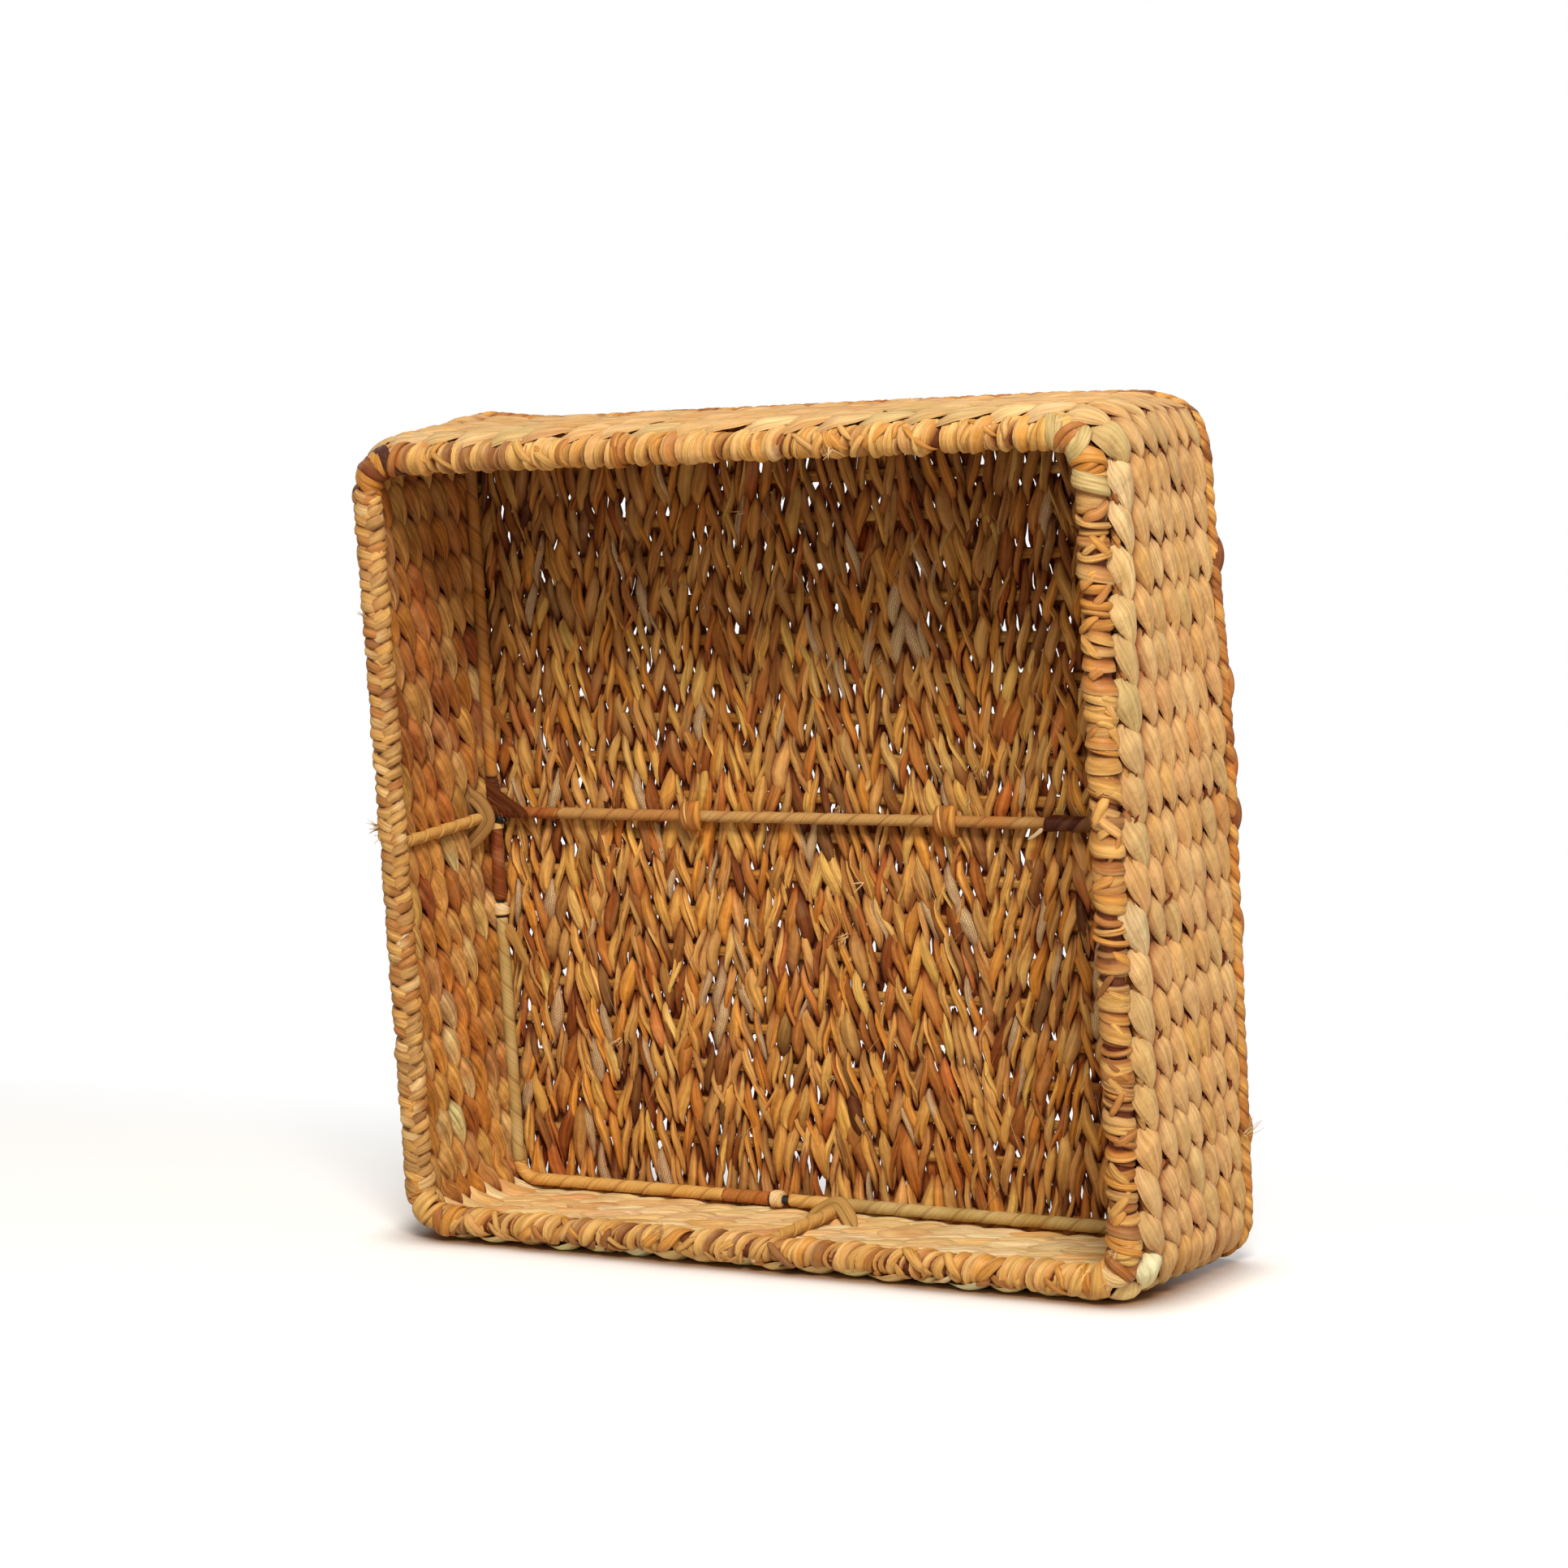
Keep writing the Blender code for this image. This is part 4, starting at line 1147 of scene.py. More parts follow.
@dataclass
class Stakes:
    """Warps across the base that turn up the walls as stakes, and the end warps with their hooks."""

    walls: WovenWalls
    base: WovenBase
    bend_centre: float = 0.1763885
    bend_depth: float = 0.0904
    bend: float = 0.0045
    tip_depth: float = 0.0072
    half_wide: float = 0.0025
    half_thick: float = 0.0011

    def half_route(self, start: float) -> Array:
        """From a place on the base, round the bend and up the right wall, as x and depth."""
        sweep_angle = math.pi / 2 + math.atan(self.walls.flare)
        angles = np.linspace(0.0, sweep_angle, 8)
        bend = np.stack((np.sin(angles), np.cos(angles)), axis=1) * self.bend
        bend += (self.bend_centre, self.bend_depth)
        depths = np.linspace(bend[-1, 1] - 0.004, self.tip_depth, 22)
        wall = np.stack((self.walls.half_at_rim + self.walls.flare * depths, depths), axis=1)
        flat_x = np.linspace(start, self.bend_centre - 0.003, max(2, int((self.bend_centre - start) / 0.006)))
        flat = np.stack((flat_x, np.full_like(flat_x, self.base.warp_depth)), axis=1)
        return np.vstack((flat, bend, wall))

    def strip(self, piece: Weaver, route: Array, offset: float, turn: int, rng: np.random.Generator) -> None:
        """Sweep one stake along a route in the plane square to the rim, then turn it to its wall."""
        along = unit(np.gradient(route, axis=0))
        points = np.stack((route[:, 0], route[:, 1], np.full(len(route), offset)), axis=1)
        faces = np.stack((-along[:, 1], along[:, 0], np.zeros(len(route))), axis=1)
        angle = -turn * math.pi / 2
        spin = np.array(((math.cos(angle), 0, math.sin(angle)), (0, 1, 0), (-math.sin(angle), 0, math.cos(angle))))
        close = tapered(len(route), 0.03)
        folds = creased(rng, len(route), 8, 2, 0.35)
        rings = sweep(points @ spin.T, faces @ spin.T, self.half_wide * close, self.half_thick * close, 8, folds=folds)
        colours = STAKE_LEAF.draw(rng, 12)
        phase = np.linspace(0, 10.99, len(route))
        # Painted shade all along the stake, deeper at its edges.
        piece.add(rings, by_lobe(colours, phase), painted_edge_shade(np.full(len(route), 0.25), 8, 0.7))

    def build(self, finish: bpy.types.Material) -> None:
        """Set all the stakes.

        Args:
            finish: the leaf's material.
        """
        rng = np.random.default_rng(41)
        offsets = (np.arange(self.base.warps) - (self.base.warps - 1) / 2) * self.base.warp_pitch
        right = self.half_route(0.0)
        whole = np.vstack(((right[1:] * (-1.0, 1.0))[::-1], right))
        warps = Weaver("warps", True)
        for offset in offsets:
            self.strip(warps, whole, offset, 0, rng)
        warps.weave(
            finish, "honey_leaf", ["warp_" + str(number + 1).zfill(2) for number in range(self.base.warps)], 401
        )
        hooks = Weaver("end_stakes", True)
        for turn in (1, 3):
            for offset in offsets:
                self.strip(hooks, self.half_route(self.base.end_warp), offset, turn, rng)
            sign = 1.0 if turn == 1 else -1.0
            reach = offsets[-1] + self.half_wide
            x = np.linspace(-reach, reach, 60)
            line = np.stack((x, np.full(60, self.base.warp_depth), np.full(60, sign * self.base.end_warp)), axis=1)
            close = tapered(60, 0.02)
            rings = sweep(line, np.tile(MOUTH, (60, 1)), self.half_wide * close, 0.001 * close, 8)
            # A little painted shade all along.
            hooks.add(rings, Leaf.TAN.linear(), 0.2)
        hooks.weave(finish, "honey_leaf", ("end_stakes_top", "end_stakes_bottom"), 402)


@dataclass(frozen=True)
class RimStretch:
    """How the whipping lies on one side of the rim.

    Args:
        pitch: from one turn to the next.
        width: the breadth of a turn.
        thick: its thickness.
        slope: how far it advances across the front of the rim.
        bow: how far its middle bulges along the rim.
        lean: how much its leading edge stands over the other.
        rise: how far its face stands beyond the rim's radius.
        mixture: its leaf.
        rough: the share of turns that are twisted into a narrow cord.
    """

    pitch: float
    width: float
    thick: float
    slope: float
    bow: float
    lean: float
    rise: float
    mixture: Mixture
    rough: float


@dataclass
class RimWhipping:
    """Leaf whipped over the rim wire: close turns above and below, broad turns right, a plait left."""

    half: float = 0.1675
    corner: float = 0.015
    reach: float = 0.0066
    top: RimStretch = RimStretch(0.0034, 0.0056, 0.0010, -0.0024, -0.0018, -0.46, -0.0004, RIM_LEAF, 0.15)
    right: RimStretch = RimStretch(0.0044, 0.0064, 0.0021, -0.0022, 0.0008, 0.24, 0.0, DULL_RIM_LEAF, 0.65)
    bottom: RimStretch = RimStretch(0.0034, 0.0056, 0.0010, -0.0022, 0.0026, 0.46, -0.0009, RIM_LEAF, 0.28)
    left: RimStretch = RimStretch(0.0056, 0.0066, 0.0016, 0.0015, 0.0, 0.0, -0.0014, DULL_RIM_LEAF, 0.0)

    @property
    def loop(self) -> SquareLoop:
        """The rim wire's line."""
        return SquareLoop(self.half, self.corner, 0.0)

    def core(self, piece: Weaver) -> None:
        """The inner winding seen between the turns: brown leaf with painted shade, which stands for the shade in the
        gaps.
        """
        loop = self.loop
        count = 560
        distance = np.arange(count) / count * 4 * loop.quarter
        points, out, _ = loop.at(distance)
        radius = self.reach - 0.0019
        rings = sweep(points, out, radius, radius, 12, closed=True)
        piece.add(rings, Leaf.BROWN.linear(), 0.6, closed=True)

    def turn(self, piece: Weaver, middle: float, stretch: RimStretch, rng: np.random.Generator) -> None:
        """One turn of leaf, its ends tucked away against the wall, with painted shade on the edge under its neighbour
        and a painted highlight on its raised edge.

        Args:
            piece: the piece that takes it.
            middle: where along the rim it lies.
            stretch: how turns lie there.
            rng: the seeded source of chance.
        """
        loop = self.loop
        count = 18
        share = np.linspace(-1.0, 1.0, count)
        angle = math.pi / 2 + share * math.pi * 1.02
        slope = stretch.slope + 0.0019 * rng.uniform(-1, 1)
        lay = slope * share * 1.6 + stretch.bow * np.cos(share * math.pi) * (1.0 + 0.4 * rng.uniform(-1, 1))
        distance = middle + lay + 0.0007 * drift(rng, count, 4)
        close = tapered(count, 0.12)
        round_corner = 1.3 if middle % loop.quarter > loop.straight else 1.0
        width = stretch.width / 2 * round_corner * (1.0 + 0.34 * rng.uniform(-1, 1)) * close
        thick = stretch.thick / 2 * (1.0 + 0.25 * rng.uniform(-1, 1))
        lean = stretch.lean + 0.24 * rng.uniform(-1, 1)
        if rng.uniform() < stretch.rough:
            width, thick, lean = width * 0.6, 0.0018, 0.0
            distance = distance + 0.0016 * rng.choice((-1, 1)) * share
        lift = self.reach + stretch.rise - thick - 0.35 * abs(lean) * stretch.width / 2
        lift = lift + 0.0006 * rng.uniform(-0.8, 1.0) + 0.0004 * drift(rng, count, 5) - 0.0012 * (1.0 - close)
        folds = creased(rng, count, 12, 5, 0.55)
        rings = wound(loop, distance, angle, lift, width, thick * close, sides=12, lean=lean, folds=folds)
        tints = stretch.mixture.draw(rng, 2)
        if self.browned(middle):
            tints = tints * 0.3 + Leaf.BROWN.linear() * 0.7
        colour = streaked(*(np.tile(tint, (count, 1)) for tint in tints), 12, 3.0 * drift(rng, count, 3))
        # Painted shade on the edge that lies under the next turn, a painted highlight in pale leaf along the raised
        # edge, and painted shade where the turn sinks below the rim's skin.
        across = np.sign(lean) * np.cos(np.arange(12) * math.pi / 6)
        under = np.clip((-0.2 - across) / 0.5, 0.0, 1.0)
        over = 0.5 * np.clip(across, 0.0, 1.0)[None, :, None] ** 5
        colour = colour * (1.0 - over) + Leaf.PALE.linear() * over
        piece.add(rings, colour, np.maximum(self.sunk_shade(rings, distance, stretch.rise), 0.9 * under[None, :]))

    def browned(self, middle: float) -> bool:
        """Whether a turn lies in one of the brown stretches of the upper and lower sides."""
        side, place = divmod(middle % (4 * self.loop.quarter), self.loop.quarter)
        spans = {0: ((-0.1010, -0.0920),), 2: ((0.1390, 0.1450), (0.0800, 0.0860))}.get(int(side), ())
        return any(low < place - self.loop.straight / 2 < high for low, high in spans)

    def sunk_shade(self, rings: Array, distance: Array, rise: float = 0.0) -> Array:
        """Painted shade at each point, by how far it lies under the rim's skin."""
        points, _, _ = self.loop.at(distance)
        stand = np.linalg.norm(rings - points[:, None], axis=2)
        return np.clip((self.reach + rise - 0.0001 - stand) / 0.0014, 0.0, 1.0)

    def straight_turns(self, piece: Weaver, side: int, stretch: RimStretch, rng: np.random.Generator) -> None:
        """Turns along one side and half of each of its corners."""
        loop = self.loop
        start = side * loop.quarter - loop.radius * 0.5
        end = side * loop.quarter + loop.straight + loop.radius * 0.5
        for middle in np.arange(start, end, stretch.pitch):
            middle += 0.25 * stretch.pitch * rng.uniform(-1.0, 1.0)
            self.turn(piece, middle % (4 * loop.quarter) + 4 * loop.quarter, stretch, rng)

    def plait(self, piece: Weaver, rng: np.random.Generator) -> None:
        """Three strips plaited down the face of the left side."""
        loop = self.loop
        start, end = 3 * loop.quarter - 0.004, 3 * loop.quarter + loop.straight + 0.004
        period = 0.0148
        turns = (end - start) / period
        count = int(turns * 18)
        share = np.linspace(0.0, 1.0, count)
        for strip in range(3):
            phase = 2 * math.pi * (share * turns + strip / 3) + 0.35 * drift(rng, count, int(turns * 2))
            spread = math.radians(56) * (1.0 + 0.2 * drift(rng, count, int(turns * 2)))
            angle = math.radians(112) + spread * np.arcsin(0.96 * np.sin(phase)) / 1.29
            lift = self.reach - 0.0003 + 0.0011 * np.sin(2 * phase) + 0.0004 * drift(rng, count, int(turns * 3))
            wobble = 0.0011 * drift(rng, count, int(turns * 3))
            width = 0.0024 * (1.0 + 0.22 * drift(rng, count, int(turns * 3))) * tapered(count, 0.01)
            folds = creased(rng, count, 10, 4, 0.45)
            distance = start + share * (end - start) + wobble
            rings = wound(loop, distance, angle, lift, width, 0.0007 * tapered(count, 0.01), sides=10, folds=folds)
            colours = PLAIT_LEAF.draw(rng, int(turns * 2) + 3)
            lobe = np.clip(phase / math.pi - 2 * strip / 3, 0, None)
            # Painted shade below the rim's skin, in the creases and along the edges.
            deep = np.maximum(self.sunk_shade(rings, distance), 0.85 * (1.0 - folds))
            piece.add(rings, by_lobe(colours, lobe), np.maximum(deep, painted_edge_shade(np.zeros(count), 10, 0.8)))

    def cross(
        self,
        piece: Weaver,
        start: float,
        end: float,
        leaf: Array,
        width: float,
        lift: float,
        rng: np.random.Generator,
        first: float = -55.0,
        last: float = 215.0,
    ) -> None:
        """A strip that crosses over the rim at a slant.

        Args:
            piece: the piece that takes it.
            start: where along the rim it sets out, outside the basket.
            end: where it goes under again, inside.
            leaf: its colour.
            width: its breadth.
            lift: how far it rides over the turns.
            rng: the seeded source of chance.
            first: the angle at which it sets out, in degrees from outwards towards the mouth.
            last: the angle at which it goes under.
        """
        count = 22
        share = np.linspace(0.0, 1.0, count)
        angle = np.radians(first + (last - first) * share)
        distance = start + (end - start) * share + 0.0006 * drift(rng, count, 4)
        close = tapered(count, 0.3)
        height = self.reach + lift - 0.0020 * (1.0 - close)
        folds = creased(rng, count, 10, 4, 0.5)
        rings = wound(self.loop, distance, angle, height, width / 2 * close, 0.0008 * close, sides=10, folds=folds)
        # Painted shade along the edges and towards the tucked ends.
        piece.add(rings, leaf, painted_edge_shade(0.3 * (1.0 - close), 10, 0.6))

    def ties(self, piece: Weaver, rng: np.random.Generator) -> None:
        """Corner bundles, the tie on the top side and strips that stray across the turns."""
        loop = self.loop
        corners = (
            (Leaf.HONEY, Leaf.SAGE, Leaf.TAN, Leaf.SAGE, Leaf.GOLD, Leaf.OCHRE, Leaf.SAGE),
            (Leaf.GOLD, Leaf.STRAW, Leaf.TAN, Leaf.PALE, Leaf.HONEY, Leaf.OCHRE, Leaf.STRAW),
            (Leaf.GOLD, Leaf.TAN, Leaf.HONEY, Leaf.STRAW, Leaf.OCHRE, Leaf.GOLD, Leaf.HONEY),
            (Leaf.TAN, Leaf.DARK, Leaf.OCHRE, Leaf.BROWN, Leaf.GOLD, Leaf.DARK, Leaf.TAN),
        )
        for corner, leaves in enumerate(corners):
            middle = corner * loop.quarter + loop.straight + loop.radius * math.pi / 4 + 4 * loop.quarter
            for number, leaf in enumerate(leaves):
                for half in (0, 1):
                    slant = (1 if number % 2 else -1) * rng.uniform(0.002, 0.009)
                    place = middle + (number - 3 + 0.5 * half) * 0.0050
                    lift = rng.uniform(-0.0006, 0.0008)
                    self.cross(
                        piece, place - slant, place + slant, leaf.linear(), rng.uniform(0.0032, 0.0056), lift, rng
                    )
        tie = loop.straight / 2 - 0.0396 + 4 * loop.quarter
        for step, leaf in ((-0.0022, Leaf.TAN), (0.0016, Leaf.GOLD)):
            self.cross(piece, tie + step, tie - step, leaf.linear(), 0.0034, 0.0006, rng, -80.0, 230.0)
        stretches = (
            (0, 0.55, 1.0, 18),
            (0, 0.0, 0.5, 10),
            (1, 0.0, 1.0, 40),
            (2, 0.0, 0.6, 34),
            (2, 0.6, 1.0, 22),
            (3, 0.0, 1.0, 36),
        )
        for side, low, high, count in stretches:
            for place in rng.uniform(low, high, count):
                middle = side * loop.quarter + place * loop.straight + 4 * loop.quarter
                slant = rng.choice((-1, 1)) * rng.uniform(0.001, 0.009)
                leaf = RIM_LEAF.draw(rng, 1)[0]
                first = rng.uniform(-60, 60)
                reach = rng.uniform(70, 160)
                self.cross(
                    piece,
                    middle - slant,
                    middle + slant,
                    leaf,
                    rng.uniform(0.0024, 0.0048),
                    rng.uniform(-0.0008, 0.0),
                    rng,
                    first,
                    first + reach,
                )

    def build(self, finish: bpy.types.Material) -> None:
        """Whip the rim.

        Args:
            finish: the leaf's material.
        """
        rng = np.random.default_rng(51)
        whipping = Weaver("rim_turns")
        self.core(whipping)
        for side, stretch in enumerate((self.top, self.right, self.bottom, self.left)):
            self.straight_turns(whipping, side, stretch, rng)
        whipping.weave(finish, "straw_leaf", ("rim_whipping",), 501)
        plait = Weaver("rim_plait")
        self.plait(plait, rng)
        plait.weave(finish, "straw_leaf", (), 502)
        welt = Weaver("rim_welt")
        under = SquareLoop(self.half + 0.0058, self.corner, 0.0072)
        whole = 4 * under.quarter
        share = np.arange(520) / 520
        for ply in (0, 1):
            angle = -2 * math.pi * share * 80 + math.pi * ply
            rings = wound(under, share * whole, angle, 0.0008, 0.0016, 0.0014, sides=8, closed=True)
            # Painted shade all along, deeper at the edges.
            welt.add(
                rings,
                by_lobe(DULL_RIM_LEAF.draw(rng, 160), share * 160),
                painted_edge_shade(np.full(520, 0.35), 8, 0.8),
                closed=True,
            )
        welt.weave(finish, "straw_leaf", (), 504)
        ties = Weaver("rim_ties")
        self.ties(ties, rng)
        ties.weave(finish, "straw_leaf", (), 503)


@dataclass
class Frays:
    """Loose fibres over the base and frayed ends at the knots and cut leaves."""

    fibre: float = 0.00016

    def hair(
        self,
        piece: Weaver,
        start: Array,
        ahead: Array,
        length: float,
        leaf: Array,
        rng: np.random.Generator,
        width: float = 1.0,
    ) -> None:
        """One curling fibre.

        Args:
            piece: the piece that takes it.
            start: its root.
            ahead: the way it sets out.
            length: its length.
            leaf: its colour.
            rng: the seeded source of chance.
            width: its breadth against a fibre's.
        """
        count = 8
        share = np.linspace(0.0, 1.0, count)
        bend = rng.uniform(-0.35, 0.35, 3) * length
        points = start + np.outer(share * length, ahead) + np.outer(share**2, bend)
        radius = self.fibre * width * (1.0 - 0.7 * share)
        piece.add(sweep(points, np.tile(MOUTH, (count, 1)) + 0.01, radius, radius * 0.6, 4), leaf, 0.0)

    def tuft(
        self, piece: Weaver, place: Array, ahead: Array, length: float, count: int, rng: np.random.Generator
    ) -> None:
        """A few fibres that spread from one root."""
        for leaf in FRAY_LEAF.draw(rng, count):
            way = unit(np.asarray(ahead, dtype=float) + rng.uniform(-0.55, 0.55, 3))
            root = np.asarray(place, dtype=float) + rng.uniform(-0.0012, 0.0012, 3)
            self.hair(piece, root, way, length * rng.uniform(0.5, 1.0), leaf, rng, rng.uniform(0.8, 2.2))

    def build(self, finish: bpy.types.Material) -> None:
        """Let the fibres hang.

        Args:
            finish: the leaf's material.
        """
        rng = np.random.default_rng(81)
        loose = Weaver("loose_fibres")
        for leaf in FRAY_LEAF.draw(rng, 70):
            spot = np.array((rng.uniform(-0.16, 0.165), 0.0902, rng.uniform(-0.16, 0.165)))
            slant = rng.uniform(-0.7, 0.7)
            way = np.array((math.sin(slant), rng.uniform(-0.12, 0.02), math.cos(slant) * rng.choice((-1, 1))))
            self.hair(loose, spot, way, rng.uniform(0.008, 0.03), leaf * 0.7, rng)
        for _ in range(16):
            spot = (rng.uniform(-0.15, 0.16), 0.0915, rng.uniform(-0.15, 0.16))
            self.tuft(loose, spot, (rng.uniform(-0.5, 0.5), -0.7, -0.5), 0.006, 6, rng)
        self.tuft(loose, (-0.1745, -0.001, 0.0078), (-0.8, -0.4, 0.2), 0.006, 12, rng)
        self.tuft(loose, (-0.1700, -0.0068, 0.0050), (-0.2, -0.9, -0.4), 0.005, 10, rng)
        self.tuft(loose, (-0.1690, -0.0066, 0.1000), (-0.1, -0.6, 0.8), 0.006, 8, rng)
        self.tuft(loose, (0.1655, -0.0068, -0.1530), (0.3, -0.8, 0.1), 0.005, 10, rng)
        self.tuft(loose, (0.1640, -0.0068, -0.1660), (-0.3, -0.8, -0.5), 0.005, 10, rng)
        self.tuft(loose, (-0.0410, -0.0066, -0.1630), (0.1, -0.5, 0.8), 0.006, 12, rng)
        self.tuft(loose, (0.0600, -0.0064, 0.1650), (0.1, -0.6, -0.6), 0.005, 8, rng)
        self.tuft(loose, (0.1850, 0.0930, -0.1290), (0.6, 0.0, 0.8), 0.009, 10, rng)
        loose.weave(finish, "straw_leaf", (), 801)


@dataclass
class EdgeRoll:
    """The rope of leaf that finishes the edge of the base."""

    half: float = 0.18254
    corner: float = 0.0175
    depth: float = 0.09655
    reach: float = 0.0013
    radius: float = 0.0019
    pitch: float = 0.0165
    inner_half: float = 0.1784
    inner_depth: float = 0.0915
    loops: tuple[tuple[float, float, Leaf], ...] = (
        (0.1118, 0.0060, Leaf.BROWN),
        (0.0588, 0.0052, Leaf.TAN),
        (0.0250, 0.0040, Leaf.RUST),
        (0.0047, 0.0054, Leaf.BROWN),
        (-0.0420, 0.0038, Leaf.TAN),
        (-0.1290, 0.0045, Leaf.OCHRE),
    )

    def build(self, finish: bpy.types.Material) -> None:
        """Twist the rope.

        Args:
            finish: the leaf's material.
        """
        rng = np.random.default_rng(61)
        rope = Weaver("edge_rope", True)
        self.twist(rope, SquareLoop(self.half, self.corner, self.depth), 1.0, rng)
        rope.weave(finish, "brown_leaf", ("edge_roll",), 601)
        selvedge = Weaver("selvedge", True)
        self.twist(selvedge, SquareLoop(self.inner_half, self.corner - 0.004, self.inner_depth), 0.8, rng)
        selvedge.weave(finish, "brown_leaf", (), 602)
        stand = Weaver("edge_loops", True)
        for height, reach, leaf in self.loops:
            share = np.linspace(-1.0, 1.0, 14)
            x = self.half - 0.0006 + (0.55 * reach + 0.0006) * np.cos(share * math.pi / 2) ** 0.7
            points = np.stack((x, self.depth + 0.0015 * share, height + 0.0085 * share), axis=1)
            close = tapered(14, 0.1)
            folds = creased(rng, 14, 8, 3, 0.4)
            faces = np.tile(unit(np.array((0.7, -0.7, 0.1))), (14, 1))
            rings = sweep(points, faces, 0.0024 * close, 0.0007 * close, 8, 0.2, folds)
            # Painted shade, deeper at the edges.
            stand.add(rings, leaf.linear(), painted_edge_shade(np.full(14, 0.1), 8, 0.6))
        stand.weave(finish, "brown_leaf", (), 603)

    def twist(self, piece: Weaver, loop: SquareLoop, size: float, rng: np.random.Generator) -> None:
        """Twist a pair of leaves along a loop.

        Args:
            piece: the piece that takes them.
            loop: their middle line.
            size: their thickness as a share of the rope's.
            rng: the seeded source of chance.
        """
        whole = 4 * loop.quarter
        turns = round(whole / self.pitch)
        count = turns * 10
        share = np.arange(count) / count
        for ply in (0, 1):
            angle = -2 * math.pi * share * turns + math.pi * ply
            width = size * self.radius * 1.35 * (1.0 + 0.15 * drift(rng, count, turns, True))
            folds = creased(rng, count, 10, 4, 0.4, True)
            reach, thick = size * self.reach, size * self.radius
            rings = wound(loop, share * whole, angle, reach, width, thick, sides=10, folds=folds, closed=True)
            colours = ROLL_LEAF.draw(rng, turns * 2)
            # Painted shade, deeper at the edges.
            piece.add(rings, by_lobe(colours, share * turns * 2), painted_edge_shade(np.full(count, 0.1), 10, 0.6), closed=True)


@dataclass(frozen=True)
class Wrap:
    """One stretch of leaf wound along a wire.

    Args:
        start: where it begins along the wire.
        end: where it ends.
        reach: the outer radius.
        pitch: from one turn to the next, below nothing for the other hand.
        leaf: its colour.
        second: the colour that it changes to in places.
        thick: the step at the strip's edge.
    """

    start: float
    end: float
    reach: float
    pitch: float
    leaf: Leaf
    second: Leaf
    thick: float = 0.0003

    def wind(self, piece: Weaver, spine: SquareLoop | StraightRun, rng: np.random.Generator) -> None:
        """Wind it.

        Args:
            piece: the piece that takes it.
            spine: the wire.
            rng: the seeded source of chance.
        """
        span = abs(self.end - self.start)
        count = max(12, int(span / 0.0008))
        sides = 16
        distance = np.linspace(self.start, self.end, count)
        points, out, side = spine.at(distance)
        angles = np.arange(sides) * 2 * math.pi / sides
        spin = 2 * math.pi * (distance - self.start) / self.pitch + 0.3 * drift(rng, count, max(3, int(span / 0.01)))
        place = angles[None, :] + spin[:, None]
        end = tapered(count, min(0.25, 0.0012 / span))
        radius = self.reach + 0.00006 * drift(rng, count, max(3, int(span / 0.005)))
        radius = radius[:, None] * end[:, None] - self.thick * (1.0 - np.arange(sides)[None, :] / sides) * end[:, None]
        turned = np.cos(place)[..., None] * out[:, None] + np.sin(place)[..., None] * side[:, None]
        rings = points[:, None] + radius[..., None] * turned
        share = 0.5 + 0.5 * drift(rng, count, max(3, int(span / 0.012)))
        colour = self.leaf.linear() * (1.0 - share[:, None]) + self.second.linear() * share[:, None]
        # Painted shade along the step at the strip's edge and over its tapered ends.
        seam_shade = np.zeros(sides)
        seam_shade[:2] = (0.6, 0.25)
        piece.add(rings, colour, np.maximum(seam_shade[None, :], 0.6 * (1.0 - end)[:, None]))


